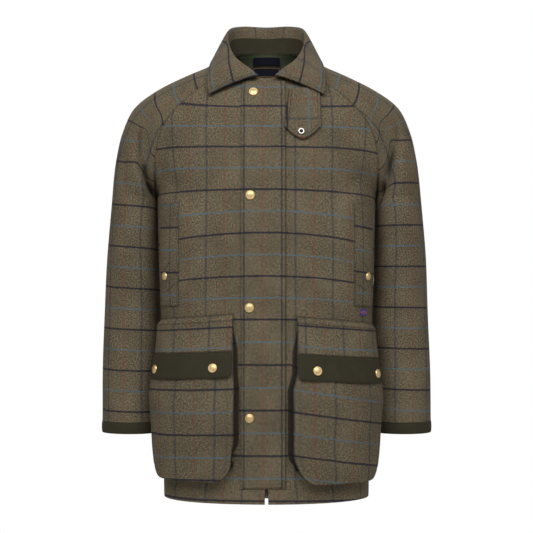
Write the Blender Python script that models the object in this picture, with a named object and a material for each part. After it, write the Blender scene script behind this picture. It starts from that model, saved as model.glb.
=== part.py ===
"""Tweed field jacket with raglan sleeves, filled out as worn. Metres, +Z up, front towards -Y.

Every cloth piece is a flat grid slab that is shaped on a surface: rows run from hem (or cuff) to
neck, and each row is one cubic arc between two seam lines. Pieces that lie on a front are made
from the front's own points, moved out along its normals.
"""
import bmesh
import bpy
import numpy as np
from mathutils import Matrix, Vector

for old in list(bpy.data.objects):
    bpy.data.objects.remove(old, do_unlink=True)

# Cloth
WALL = 0.0020
TRIM_WALL = 0.0018
LINING_WALL = 0.0010
SEAM = 0.00016
REST = 0.0005

# Neck seam: an oval, tilted to the front, with raised shoulder points
NECK_HALF_WIDTH = 0.070
NECK_HALF_DEPTH = 0.075
NECK_RISE = 0.0005
NECK_TILT = 0.42
NECK_SHOULDER = 0.013
RAGLAN_FRONT_ANGLE = np.radians(-38.0)
RAGLAN_BACK_ANGLE = np.radians(40.0)

# Levels
HEM_Z = -0.792
CUFF_Z = -0.679
ARMPIT = 1.0
NECK = 2.0
CUFF_BAND = 0.050

# Placket and zip
PLACKET_FREE = -0.0455
PLACKET_SEWN = 0.0350
PLACKET_TOP = -0.0400
PLACKET_BOTTOM = -0.7640
ZIP_HALF = 0.0140
ZIP_TOP = -0.0500
ZIP_BOTTOM = -0.7810

# Bellows pockets, measured along the front from its centre
POCKET_INNER = 0.0600
POCKET_OUTER = 0.2240
POCKET_TOP = -0.4780
POCKET_BOTTOM = -0.7510
POCKET_CORNER = 0.0340
POCKET_DEPTH = 0.0265
POCKET_MOUTH = 0.0070
FLAP_TOP = -0.4540
FLAP_SEAM = -0.5210
FLAP_BOTTOM = -0.5650
FLAP_OVERHANG = 0.0020
FLAP_BENDS = (-0.4980, -0.4840, -0.4740, -0.4670, -0.4600)
BAND_MIDDLE = -0.5430

# Hand-warmer flaps
HAND_INNER = 0.1630
HAND_OUTER = 0.2240
HAND_TOP = -0.2530
HAND_BOTTOM = -0.4380

# Throat tab
TAB_CENTRE = 0.0660
TAB_HALF = 0.0315
TAB_TOP = -0.0580
TAB_SIDE = -0.1230
TAB_TIP = -0.1460
TAB_LIFT = 0.0031
TAB_FLARE = 0.0095

# Snap fasteners
SNAP_RADIUS = 0.0085
SNAP_HEIGHT = 0.0030
RING_RADIUS = 0.0065
PLACKET_SNAPS = ((-0.0235, -0.0600), (-0.0285, -0.2450), (-0.0300, -0.4440), (-0.0300, -0.6390))
FLAP_SNAPS = (0.0900, 0.2060)
FLAP_SNAP_Z = -0.5480
HAND_SNAP = (0.1990, -0.3770)
RING_PLACE = (0.0610, -0.1330)

# Lining and labels inside the neck, and the flag label on the left front
LINING_HALF = 0.0580
LINING_LEVELS = (-0.0600, 0.0290)
LABEL_HALF = 0.0265
UPPER_LEVELS = (0.0150, 0.0285)
LOWER_LEVELS = (-0.0075, 0.0020, 0.0120)
FLAG_SPAN = (0.1790, 0.2000)
FLAG_LEVELS = (-0.4565, -0.4425)

# Rows
BODY_STEPS = 9
YOKE_STEPS = 9
FRONT_STEPS = 9
BACK_STEPS = 14
SLEEVE_STEPS = 6

# Centre lines: t, y, z
CENTRE_FRONT = (
    (0.00, -0.1360, HEM_Z),
    (0.50, -0.1375, -0.5185),
    (1.00, -0.1370, -0.2450),
    (1.25, -0.1335, -0.2020),
    (1.40, -0.1260, -0.1600),
    (1.55, -0.1165, -0.1220),
    (1.70, -0.1050, -0.0880),
    (1.85, -0.0910, -0.0570),
    (2.00, -0.0750, -0.0310),
)
CENTRE_BACK = (
    (0.00, 0.1280, HEM_Z),
    (0.50, 0.1270, -0.5185),
    (1.00, 0.1300, -0.2450),
    (1.25, 0.1340, -0.1900),
    (1.40, 0.1340, -0.1400),
    (1.55, 0.1300, -0.0920),
    (1.70, 0.1200, -0.0460),
    (1.85, 0.1000, -0.0040),
    (2.00, 0.0750, 0.0320),
)

# Side seam of the body and underarm seam of the sleeve: t, x, y, z
SIDE_SEAM = (
    (0.00, 0.1880, -0.0120, HEM_Z),
    (0.35, 0.1915, -0.0140, -0.6005),
    (0.70, 0.1960, -0.0120, -0.4090),
    (0.88, 0.1995, -0.0030, -0.3106),
    (1.00, 0.2030, 0.0120, -0.2450),
)
UNDERARM = (
    (0.00, 0.1955, 0.0360, CUFF_Z),
    (0.50, 0.1965, 0.0340, -0.4620),
    (0.80, 0.2000, 0.0260, -0.3320),
    (1.00, 0.2030, 0.0120, -0.2450),
)

# Raglan seams from underarm to neck: t, x, y, z
RAGLAN_FRONT = (
    (1.00, 0.2030, 0.0120, -0.2450),
    (1.12, 0.2040, -0.0160, -0.2280),
    (1.25, 0.2030, -0.0400, -0.2020),
    (1.40, 0.2000, -0.0580, -0.1580),
    (1.55, 0.1870, -0.0690, -0.1160),
    (1.70, 0.1580, -0.0700, -0.0780),
    (1.85, 0.1090, -0.0580, -0.0380),
)
RAGLAN_BACK = (
    (1.00, 0.2030, 0.0120, -0.2450),
    (1.12, 0.2040, 0.0440, -0.2260),
    (1.25, 0.2020, 0.0720, -0.1960),
    (1.40, 0.1960, 0.0940, -0.1500),
    (1.55, 0.1800, 0.1060, -0.1060),
    (1.70, 0.1480, 0.1060, -0.0600),
    (1.85, 0.1000, 0.0840, -0.0080),
)

# Overarm seam, cuff to neck: t, x, y, z
OVERARM = (
    (0.00, 0.3070, 0.0340, CUFF_Z),
    (0.25, 0.3058, 0.0340, -0.5700),
    (0.50, 0.3022, 0.0330, -0.4600),
    (0.75, 0.2970, 0.0320, -0.3490),
    (1.00, 0.2880, 0.0300, -0.2400),
    (1.12, 0.2842, 0.0280, -0.2050),
    (1.25, 0.2785, 0.0250, -0.1700),
    (1.40, 0.2670, 0.0200, -0.1220),
    (1.55, 0.2450, 0.0150, -0.0770),
    (1.70, 0.2005, 0.0100, -0.0440),
    (1.85, 0.1365, 0.0060, -0.0135),
    (2.00, 0.0700, 0.0000, 0.0135),
)

# Way across each raglan seam, and how sharply it is folded there: t, x, y, z, fold in degrees
ACROSS_FRONT = (
    (1.00, 1.00, 0.00, -0.30, 90.0),
    (1.12, 0.95, 0.10, -0.25, 66.0),
    (1.25, 0.90, 0.35, -0.15, 38.0),
    (1.40, 0.88, 0.45, -0.08, 16.0),
    (1.55, 0.85, 0.50, 0.03, 5.0),
    (1.70, 0.80, 0.55, 0.15, 0.0),
    (1.85, 0.62, 0.70, 0.30, 0.0),
)
ACROSS_BACK = (
    (1.00, 1.00, 0.00, -0.30, 90.0),
    (1.12, 0.95, -0.10, -0.25, 66.0),
    (1.25, 0.90, -0.35, -0.15, 38.0),
    (1.40, 0.88, -0.45, -0.05, 16.0),
    (1.55, 0.85, -0.50, 0.05, 5.0),
    (1.70, 0.78, -0.60, 0.15, 0.0),
    (1.85, 0.70, -0.68, 0.20, 0.0),
)

# Arc handles of the rows: t, at the centre line, at the seam
FRONT_ARC = (
    (0.00, 0.1130, 0.0720),
    (0.50, 0.1240, 0.0790),
    (1.00, 0.1300, 0.0900),
    (1.12, 0.1260, 0.0640),
    (1.25, 0.1180, 0.0480),
    (1.40, 0.0900, 0.0540),
    (1.55, 0.0750, 0.0600),
    (1.70, 0.0580, 0.0500),
    (1.85, 0.0400, 0.0330),
)
BACK_ARC = (
    (0.00, 0.1180, 0.0800),
    (0.50, 0.1200, 0.0820),
    (1.00, 0.1300, 0.0760),
    (1.12, 0.1260, 0.0560),
    (1.25, 0.1180, 0.0440),
    (1.40, 0.0950, 0.0500),
    (1.55, 0.0800, 0.0560),
    (1.70, 0.0620, 0.0500),
    (1.85, 0.0420, 0.0350),
)
# Arc handles of the sleeve rows: t, at the seam, at the overarm line
SLEEVE_FRONT_ARC = (
    (0.00, 0.0780, 0.0780),
    (0.50, 0.0840, 0.0840),
    (1.00, 0.0860, 0.0860),
    (1.12, 0.0660, 0.0760),
    (1.25, 0.0520, 0.0680),
    (1.40, 0.0440, 0.0560),
    (1.55, 0.0390, 0.0440),
    (1.70, 0.0340, 0.0390),
    (1.85, 0.0260, 0.0290),
)
SLEEVE_BACK_ARC = (
    (0.00, 0.0780, 0.0780),
    (0.50, 0.0860, 0.0860),
    (1.00, 0.0880, 0.0880),
    (1.12, 0.0680, 0.0780),
    (1.25, 0.0540, 0.0700),
    (1.40, 0.0480, 0.0600),
    (1.55, 0.0440, 0.0500),
    (1.70, 0.0400, 0.0440),
    (1.85, 0.0310, 0.0330),
)

# Collar, centre back to front end: u, roll line x, y, z, outer edge x, y, z
COLLAR = (
    (0.00, 0.0000, 0.0830, 0.0835, 0.0000, 0.1340, 0.0180),
    (0.20, 0.0470, 0.0720, 0.0835, 0.0610, 0.1230, 0.0130),
    (0.40, 0.0710, 0.0420, 0.0720, 0.1010, 0.0740, 0.0100),
    (0.60, 0.0700, -0.0040, 0.0360, 0.1060, -0.0060, 0.0010),
    (0.80, 0.0510, -0.0600, 0.0020, 0.1080, -0.0710, -0.0330),
    (0.90, 0.0340, -0.0780, -0.0120, 0.1070, -0.0840, -0.0480),
    (1.00, 0.0185, -0.0885, -0.0270, 0.1040, -0.0930, -0.0620),
)
COLLAR_SWEEP = np.radians(168.0)
COLLAR_ROLL = 0.0075
COLLAR_SWELL = 0.0040
COLLAR_STEPS = 30
STAND_STEPS = 20
STAND_TOP = 0.40


def curve(rows, t):
    """Smooth values of a short table at t: cubic between rows, slopes taken from the neighbours."""
    data = np.array(rows, dtype=float)
    knots, values = data[:, 0], data[:, 1:]
    t = np.asarray(t, dtype=float)
    slopes = np.gradient(values, knots, axis=0)
    i = np.clip(np.searchsorted(knots, t, side="right") - 1, 0, len(knots) - 2)
    step = (knots[i + 1] - knots[i])[..., None]
    u = (t - knots[i])[..., None] / step
    return (
        (2 * u**3 - 3 * u**2 + 1) * values[i]
        + (u**3 - 2 * u**2 + u) * step * slopes[i]
        + (3 * u**2 - 2 * u**3) * values[i + 1]
        + (u**3 - u**2) * step * slopes[i + 1]
    )


def unit(v):
    """Vectors scaled to length one."""
    return v / np.linalg.norm(v, axis=-1, keepdims=True)


def neck_point(angle):
    """Point of the neck seam at an angle: 0 at the left shoulder, 90 degrees at the back."""
    c, s = np.cos(angle), np.sin(angle)
    y = NECK_HALF_DEPTH * s
    return np.stack([NECK_HALF_WIDTH * c, y, NECK_RISE + NECK_TILT * y + NECK_SHOULDER * c * c], axis=-1)


def neck_slope(angle):
    """Change of the neck seam point with its angle."""
    c, s = np.cos(angle), np.sin(angle)
    dy = NECK_HALF_DEPTH * c
    return np.stack([-NECK_HALF_WIDTH * s, dy, NECK_TILT * dy - 2 * NECK_SHOULDER * c * s], axis=-1)


def neck_handles(a, b):
    """Handle lengths that make one cubic arc follow the neck seam between two angles."""
    k = abs(4.0 / 3.0 * np.tan((b - a) / 4.0))
    return k * np.linalg.norm(neck_slope(np.array(a))), k * np.linalg.norm(neck_slope(np.array(b)))


def to_neck(rows, last):
    """A table with its neck row added."""
    return tuple(rows) + ((NECK,) + tuple(float(v) for v in last),)


HALF = np.radians(90.0)
RAGLAN_FRONT = to_neck(RAGLAN_FRONT, neck_point(np.array(RAGLAN_FRONT_ANGLE)))
RAGLAN_BACK = to_neck(RAGLAN_BACK, neck_point(np.array(RAGLAN_BACK_ANGLE)))
ACROSS_FRONT = to_neck(ACROSS_FRONT, tuple(unit(neck_slope(np.array(RAGLAN_FRONT_ANGLE)))) + (0.0,))
ACROSS_BACK = to_neck(ACROSS_BACK, tuple(-unit(neck_slope(np.array(RAGLAN_BACK_ANGLE)))) + (0.0,))
FRONT_ARC = to_neck(FRONT_ARC, neck_handles(-HALF, RAGLAN_FRONT_ANGLE))
BACK_ARC = to_neck(BACK_ARC, neck_handles(HALF, RAGLAN_BACK_ANGLE))
SLEEVE_FRONT_ARC = to_neck(SLEEVE_FRONT_ARC, neck_handles(RAGLAN_FRONT_ANGLE, 0.0))
SLEEVE_BACK_ARC = to_neck(SLEEVE_BACK_ARC, neck_handles(RAGLAN_BACK_ANGLE, 0.0))


def split(low, high, t):
    """Values of one table below the armpit and of another above it."""
    return np.where((t < ARMPIT)[..., None], curve(low, t), curve(high, t))


def seam_ways(across, forward, t):
    """Way across the seam as the body leaves it and as the sleeve takes it up."""
    row = curve(across, np.maximum(t, ARMPIT))
    way = unit(row[..., :3])
    fold = np.radians(np.clip(row[..., 3:4], 0.0, 90.0))
    side = np.array((0.0, 1.0, 0.0)) * forward
    return unit(np.cos(fold) * way + np.sin(fold) * side), unit(np.cos(fold) * way - np.sin(fold) * side)


def arc(p0, way0, p1, way1, handles, s):
    """Cubic arc from p0, leaving along way0, to p1, arriving along way1."""
    a = p0 + way0 * handles[..., :1]
    b = p1 - way1 * handles[..., 1:2]
    s = s[..., None]
    r = 1.0 - s
    return r**3 * p0 + 3 * r * r * s * a + 3 * r * s * s * b + s**3 * p1


def body_half(centre, raglan, across, handles, forward):
    """Surface of half a front or back: s from the centre line to the side and raglan seam."""

    def surface(s, t):
        s, t = np.broadcast_arrays(np.asarray(s, float), np.asarray(t, float))
        line = curve(centre, t)
        p0 = np.concatenate([np.zeros_like(line[..., :1]), line], axis=-1)
        way0 = np.zeros_like(p0)
        way0[..., 0] = 1.0
        body_way, _ = seam_ways(across, forward, t)
        return arc(p0, way0, split(SIDE_SEAM, raglan, t), body_way, curve(handles, t), s)

    return surface


def sleeve_half(raglan, across, handles, forward):
    """Surface of half a sleeve: s from the underarm and raglan seam to the overarm seam."""

    def surface(s, t):
        s, t = np.broadcast_arrays(np.asarray(s, float), np.asarray(t, float))
        _, sleeve_way = seam_ways(across, forward, t)
        rise = NECK_TILT * np.clip((t - 1.85) / 0.15, 0.0, 1.0)
        over_way = unit(np.stack([np.zeros_like(t), forward * np.ones_like(t), forward * rise], axis=-1))
        return arc(split(UNDERARM, raglan, t), sleeve_way, curve(OVERARM, t), over_way, curve(handles, t), s)

    return surface


front_half = body_half(CENTRE_FRONT, RAGLAN_FRONT, ACROSS_FRONT, FRONT_ARC, 1.0)
back_half = body_half(CENTRE_BACK, RAGLAN_BACK, ACROSS_BACK, BACK_ARC, -1.0)
sleeve_front = sleeve_half(RAGLAN_FRONT, ACROSS_FRONT, SLEEVE_FRONT_ARC, 1.0)
sleeve_back = sleeve_half(RAGLAN_BACK, ACROSS_BACK, SLEEVE_BACK_ARC, -1.0)


def normals(surface, s, t, turn=1.0):
    """Unit normals of a surface, by small steps both ways."""
    e = 1e-4
    ds = surface(s + e, t) - surface(s - e, t)
    hi, lo = np.minimum(t + e, NECK), np.maximum(t - e, 0.0)
    dt = surface(s, hi) - surface(s, lo)
    return unit(np.cross(ds, dt)) * turn


def trimmed(surface, s, t, first, last):
    """Places along a row, kept off the seam lines at its ends by the seam gap."""
    e = 1e-4
    speed0 = np.linalg.norm(surface(0.0 * t + e, t) - surface(0.0 * t, t), axis=-1) / e
    speed1 = np.linalg.norm(surface(0.0 * t + 1.0, t) - surface(0.0 * t + 1.0 - e, t), axis=-1) / e
    a = first * SEAM / speed0
    b = 1.0 - last * SEAM / speed1
    return a + (b - a) * s


def material(name, rgb, roughness, metallic=0.0):
    """A plain Principled material."""
    mat = bpy.data.materials.new(name)
    mat.use_nodes = True
    shader = mat.node_tree.nodes["Principled BSDF"]
    shader.inputs["Base Color"].default_value = (*rgb, 1.0)
    shader.inputs["Roughness"].default_value = roughness
    shader.inputs["Metallic"].default_value = metallic
    return mat


TWEED = material("tweed", (0.120, 0.094, 0.060), 0.95)
MOLESKIN = material("moleskin", (0.034, 0.032, 0.020), 0.95)
LINING = material("lining", (0.048, 0.058, 0.034), 0.70)
BRASS = material("brass", (0.560, 0.330, 0.110), 0.30, 1.0)
NICKEL = material("nickel", (0.640, 0.620, 0.580), 0.25, 1.0)
TAPE = material("zip_tape", (0.012, 0.012, 0.010), 0.80)
LABEL = material("label", (0.010, 0.012, 0.022), 0.60)
FLAG = material("flag", (0.060, 0.030, 0.160), 0.70)

jacket = bpy.data.collections.new("tweed_jacket")
bpy.context.scene.collection.children.link(jacket)


def finish(bm, name, mat):
    """Turn a closed mesh into a named piece of the jacket."""
    bmesh.ops.recalc_face_normals(bm, faces=bm.faces)
    if bm.calc_volume(signed=True) < 0.0:
        bmesh.ops.reverse_faces(bm, faces=bm.faces)
    for face in bm.faces:
        face.smooth = True
    mesh = bpy.data.meshes.new(name)
    bm.to_mesh(mesh)
    bm.free()
    mesh.materials.append(mat)
    obj = bpy.data.objects.new(name, mesh)
    jacket.objects.link(obj)
    return obj


def slab(name, columns, rows, shape, mat):
    """A flat grid with thickness, each point moved to shape(column, row, layer)."""
    bm = bmesh.new()
    bmesh.ops.create_grid(bm, x_segments=columns, y_segments=rows, size=0.5)
    bmesh.ops.solidify(bm, geom=bm.verts[:] + bm.edges[:] + bm.faces[:], thickness=1.0)
    flat = np.array([v.co[:] for v in bm.verts])
    i = np.rint((flat[:, 0] + 0.5) * columns).astype(int)
    j = np.rint((flat[:, 1] + 0.5) * rows).astype(int)
    layer = (np.abs(flat[:, 2]) > 0.5).astype(int)
    for vert, place in zip(bm.verts, shape(i, j, layer)):
        vert.co = Vector(place)
    return finish(bm, name, mat)


BODY_T = np.concatenate([np.linspace(0.0, 1.0, BODY_STEPS + 1), np.linspace(1.0, NECK, YOKE_STEPS + 1)[1:]])
SLEEVE_T = np.concatenate([np.linspace(CUFF_BAND, 1.0, BODY_STEPS + 1), np.linspace(1.0, NECK, YOKE_STEPS + 1)[1:]])
NECK_TRIM = 0.0012


def panel(name, surface, side, turn, t_rows, columns, first, last, mat):
    """A half panel on its surface, walled inwards."""
    t_rows = t_rows.copy()
    t_rows[-1] -= NECK_TRIM

    def shape(i, j, layer):
        t = t_rows[j]
        s = trimmed(surface, i / columns, t, first, last)
        place = surface(s, t) - normals(surface, s, t, turn) * (layer * WALL)[:, None]
        return place * np.array((side, 1.0, 1.0))

    return slab(name, columns, len(t_rows) - 1, shape, mat)


def whole_back(name, mat):
    """The back in one piece, side seam to side seam."""
    t_rows = BODY_T.copy()
    t_rows[-1] -= NECK_TRIM

    def shape(i, j, layer):
        t = t_rows[j]
        q = 2.0 * i / BACK_STEPS - 1.0
        s = trimmed(back_half, np.abs(q), t, 0.0, 1.0)
        place = back_half(s, t) - normals(back_half, s, t, -1.0) * (layer * WALL)[:, None]
        place[:, 0] *= np.where(q < 0.0, -1.0, 1.0)
        return place

    return slab(name, BACK_STEPS, len(t_rows) - 1, shape, mat)


def cuff(name, side, mat):
    """The band round the end of a sleeve, its seam under the arm."""
    half, steps = SLEEVE_STEPS, 2 * SLEEVE_STEPS
    t_rows = np.array((0.0, CUFF_BAND - 0.0007))

    def shape(i, j, layer):
        t = t_rows[j]
        ahead = i <= half
        s = np.where(ahead, i, steps - i) / half
        s = trimmed(sleeve_front, s, t, 1.0, 0.0)
        fore = sleeve_front(s, t) - normals(sleeve_front, s, t, 1.0) * (layer * WALL)[:, None]
        aft = sleeve_back(s, t) - normals(sleeve_back, s, t, -1.0) * (layer * WALL)[:, None]
        return np.where(ahead[:, None], fore, aft) * np.array((side, 1.0, 1.0))

    return slab(name, steps, 1, shape, mat)


T_FINE = np.linspace(0.0, NECK, 401)
S_FINE = np.linspace(0.0, 1.0, 101)


def place_on(surface, centre, turn, d, z, lift):
    """Points at a distance along the cloth from the centre line, at a level, moved out by lift."""
    d, z, lift = (np.ravel(a) for a in np.broadcast_arrays(d, z, lift))
    t = np.interp(z, curve(centre, T_FINE)[:, 1], T_FINE)
    s = np.empty_like(t)
    for n in range(len(t)):
        row = surface(S_FINE, np.full_like(S_FINE, t[n]))
        length = np.concatenate([[0.0], np.cumsum(np.linalg.norm(np.diff(row, axis=0), axis=-1))])
        s[n] = np.interp(abs(d[n]), length, S_FINE)
    flip = np.where(d < 0.0, -1.0, 1.0)
    out = normals(surface, s, t, turn)
    place = surface(s, t) + out * lift[:, None]
    place[:, 0] *= flip
    out[:, 0] *= flip
    return place, out


def on_front(d, z, lift):
    """Points on a front, moved out by lift."""
    return place_on(front_half, CENTRE_FRONT, 1.0, d, z, lift)[0]


def on_back(d, z, lift):
    """Points on the back, moved out by lift."""
    return place_on(back_half, CENTRE_BACK, -1.0, d, z, lift)[0]


def patch(name, place, d_cols, z_rows, lift, wall, mat):
    """A piece lying on a panel: its own columns and levels, lifted off and walled outwards."""
    d_cols, z_rows = np.asarray(d_cols, float), np.asarray(z_rows, float)

    def shape(i, j, layer):
        d, z = d_cols[i], z_rows[j]
        base = lift(d, z) if callable(lift) else np.full(len(d), lift)
        return place(d, z, base + wall * (1 - layer))

    return slab(name, len(d_cols) - 1, len(z_rows) - 1, shape, mat)


def level_rows(low, high, centre=CENTRE_FRONT):
    """Levels between two heights that keep to the rows of the panels."""
    rows = curve(centre, BODY_T)[:, 1]
    inside = rows[(rows > low + 0.006) & (rows < high - 0.006)]
    return np.concatenate([[low], inside, [high]])


def smooth(x):
    """Smooth step from 0 to 1."""
    x = np.clip(x, 0.0, 1.0)
    return x * x * (3.0 - 2.0 * x)


def bag_lift(z):
    """How far the face of a pocket bag stands off the front."""
    return POCKET_MOUTH + (POCKET_DEPTH - POCKET_MOUTH) * smooth((POCKET_TOP - z) / 0.150)


def flap_lift(z, hung):
    """Inner face of a pocket flap at a level of its cut: sewn down at its top, clear over the bag where it hangs."""
    over = bag_lift(np.minimum(hung, POCKET_TOP)) + 0.0024
    return REST + (over - REST) * smooth((FLAP_TOP - z) / 0.014)


def pocket(name, place, bulge, spread, fade, mat):
    """A bellows bag: face and gusset in one shell, open at its mouth and against the front.

    Towards the placket its face swells by bulge below the flap and its gusset spreads at its foot,
    both down to the level fade.
    """
    inset = np.array((0.0, 0.0, 0.0040, 0.0120, 0.0220, POCKET_CORNER))
    middle = np.linspace(POCKET_INNER + POCKET_CORNER, POCKET_OUTER - POCKET_CORNER, 8)[1:-1]
    columns = len(inset) * 2 + len(middle) - 1
    levels = np.array((0.0, 0.0, 0.08, 0.20, 0.36, 0.52, 0.66, 0.78, 0.89, 1.0))

    def shape(i, j, layer):
        wall = WALL * layer
        edges = np.concatenate([POCKET_INNER + inset, middle, (POCKET_OUTER - inset)[::-1]])
        d = np.clip(edges[i], POCKET_INNER + wall, POCKET_OUTER - wall)
        ends = (i == 0) | (i == columns)
        foot = j == 0
        d = d + np.where(i == 0, 0.0025, 0.0) - np.where(i == columns, 0.0025, 0.0)
        reach = np.minimum(edges[i] - POCKET_INNER, POCKET_OUTER - edges[i])
        drop = np.sqrt(np.maximum(POCKET_CORNER**2 - np.maximum(POCKET_CORNER - reach, 0.0) ** 2, 0.0))
        low = POCKET_BOTTOM + POCKET_CORNER - drop + wall
        z = low + (POCKET_TOP - low) * levels[j] + np.where(foot, 0.0025, 0.0)
        face = bag_lift(z) - wall
        share = np.clip((POCKET_OUTER - d) / (POCKET_OUTER - POCKET_INNER), 0.0, 1.0) ** 2
        swell = smooth((FLAP_BOTTOM + 0.015 - z) / 0.040) * (1.0 - smooth((fade - z) / 0.050))
        wide = smooth((POCKET_TOP + 0.006 - z) / 0.070) * smooth((z - fade + 0.045) / 0.030)
        d = d - bulge * share * swell - np.where(i == 0, spread * wide, 0.0)
        return place(d, z, np.where(ends | foot, 1.6 * REST, face))

    return slab(name, columns, len(levels) - 1, shape, mat)


def collar_rows():
    """Collar table from one front end round the back to the other."""
    right = [(-r[0], -r[1], r[2], r[3], -r[4], r[5], r[6]) for r in COLLAR[:0:-1]]
    return tuple(right) + COLLAR


COLLAR_ROUND = collar_rows()


def collar_at(u, v):
    """Collar face: v 0 to 1 up the stand to the roll, 1 to 2 down the fall to its edge."""
    u, v = np.broadcast_arrays(np.asarray(u, float), np.asarray(v, float))
    row = curve(COLLAR_ROUND, u)
    roll, edge = row[..., :3], row[..., 3:]
    raised = 0.0010 + 0.0021 * smooth((np.abs(u) - 0.45) / 0.40)
    foot = neck_point(np.pi / 2.0 - u * COLLAR_SWEEP)
    foot[..., 2] += raised
    way = unit((edge - foot) * np.array((1.0, 1.0, 0.25)))
    up = roll - foot
    rise = np.stack([foot, foot + 0.45 * up, roll - COLLAR_ROLL * way, roll])
    swell = COLLAR_SWELL * (way + np.array((0.0, 0.0, 1.0)))
    fall = np.stack([roll, roll + COLLAR_ROLL * way, edge - 0.45 * (edge - roll) + swell, edge])
    points = np.where((v <= 1.0)[..., None], rise, fall)
    q = np.where(v <= 1.0, v, v - 1.0)[..., None]
    r = 1.0 - q
    return r**3 * points[0] + 3 * r * r * q * points[1] + 3 * r * q * q * points[2] + q**3 * points[3]


def collar_normal(u, v):
    """Unit normals on the face side of the collar."""
    e = 1e-4
    du = collar_at(np.minimum(u + e, 1.0), v) - collar_at(np.maximum(u - e, -1.0), v)
    dv = collar_at(u, np.minimum(v + e, 2.0)) - collar_at(u, np.maximum(v - e, 0.0))
    return unit(np.cross(du, dv))


def collar(name, mat):
    """The folded collar in one sweep of its profile round the neck."""
    profile = np.array((0.0, 0.30, 0.60, 0.82, 0.94, 1.04, 1.14, 1.32, 1.66, 2.0))

    def shape(i, j, layer):
        u = 2.0 * i / COLLAR_STEPS - 1.0
        v = profile[j]
        return collar_at(u, v) - collar_normal(u, v) * (layer * WALL)[:, None]

    return slab(name, COLLAR_STEPS, len(profile) - 1, shape, mat)


def stand_band(name, mat):
    """The moleskin band on the inside of the collar stand."""
    reach = STAND_STEPS / COLLAR_STEPS
    levels = np.array((0.05, 0.22, STAND_TOP))

    def shape(i, j, layer):
        u = reach * (2.0 * i / STAND_STEPS - 1.0)
        v = levels[j]
        lift = REST + TRIM_WALL * 0.7 * (1 - layer)
        return collar_at(u, v) + collar_normal(u, v) * lift[:, None]

    return slab(name, STAND_STEPS, 2, shape, mat)


def tab(name, mat):
    """The throat tab, pointed at its lower end."""
    columns, rows = 8, 7

    def shape(i, j, layer):
        q = 2.0 * i / columns - 1.0
        end = TAB_TIP + (TAB_SIDE - TAB_TIP) * np.abs(q) ** 1.6
        z = end + (TAB_TOP - end) * j / rows
        d = TAB_CENTRE + TAB_HALF * q + TAB_FLARE * (j / rows - 0.4) * (1.0 - q) / 2.0
        return on_front(d, z, TAB_LIFT + TRIM_WALL * (1 - layer))

    return slab(name, columns, rows, shape, mat)


def snap(name, place, turn, d, z, lift, radius, mat):
    """A snap cap: a low cone frustum seated square on the cloth, whose outer face is at lift."""
    e = 0.004
    ds, zs = d + np.array((0.0, e, -e, 0.0, 0.0)), z + np.array((0.0, 0.0, 0.0, e, -e))
    spots = place(ds, zs, lift(ds, zs))
    out = Vector(np.cross(spots[1] - spots[2], spots[3] - spots[4])).normalized() * turn
    centre = Vector(spots[0]) + out * (SNAP_HEIGHT / 2.0 + REST)
    stance = out.to_track_quat("Z", "Y").to_matrix().to_4x4()
    bm = bmesh.new()
    bmesh.ops.create_cone(
        bm,
        cap_ends=True,
        segments=18,
        radius1=radius,
        radius2=radius * 0.72,
        depth=SNAP_HEIGHT,
        matrix=Matrix.Translation(centre) @ stance,
    )
    obj = finish(bm, name, mat)
    for face in obj.data.polygons:
        face.use_smooth = len(face.vertices) == 4
    return obj


def on_trim(d, z):
    """Outer face of the placket and of a hand-warmer flap."""
    return np.full_like(z, REST + TRIM_WALL)


def on_tab(d, z):
    """Outer face of the throat tab."""
    return np.full_like(z, TAB_LIFT + TRIM_WALL)


# Sides: word, side, how far its pocket is moved towards the centre and down, how its flap slants outwards,
# how far its bag swells and its gusset spreads towards the placket, and the level where both end
SIDES = (
    ("right", -1.0, 0.0, 0.0, 0.052, 0.0025, 0.0120, -0.6650),
    ("left", 1.0, 0.0045, 0.0045, 0.074, 0.0080, 0.0125, -0.6900),
)

whole_back("back", TWEED)
for word, side, *_ in SIDES:
    panel(f"front_{word}", front_half, side, 1.0, BODY_T, FRONT_STEPS, 1.0, 1.0, TWEED)
    panel(f"sleeve_front_{word}", sleeve_front, side, 1.0, SLEEVE_T, SLEEVE_STEPS, 1.0, 1.0, TWEED)
    panel(f"sleeve_back_{word}", sleeve_back, side, -1.0, SLEEVE_T, SLEEVE_STEPS, 1.0, 1.0, TWEED)
    cuff(f"cuff_{word}", side, MOLESKIN)

collar("collar", TWEED)
stand_band("collar_stand", MOLESKIN)

placket_cols = np.linspace(PLACKET_FREE, PLACKET_SEWN, 5)
patch("placket", on_front, placket_cols, level_rows(PLACKET_BOTTOM, PLACKET_TOP), REST, TRIM_WALL, TWEED)
zip_lift = -WALL - 2.0 * REST - LINING_WALL
patch("zip_tape", on_front, (-ZIP_HALF, 0.0, ZIP_HALF), level_rows(ZIP_BOTTOM, ZIP_TOP), zip_lift, LINING_WALL, TAPE)
tab("throat_tab", TWEED)

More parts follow.
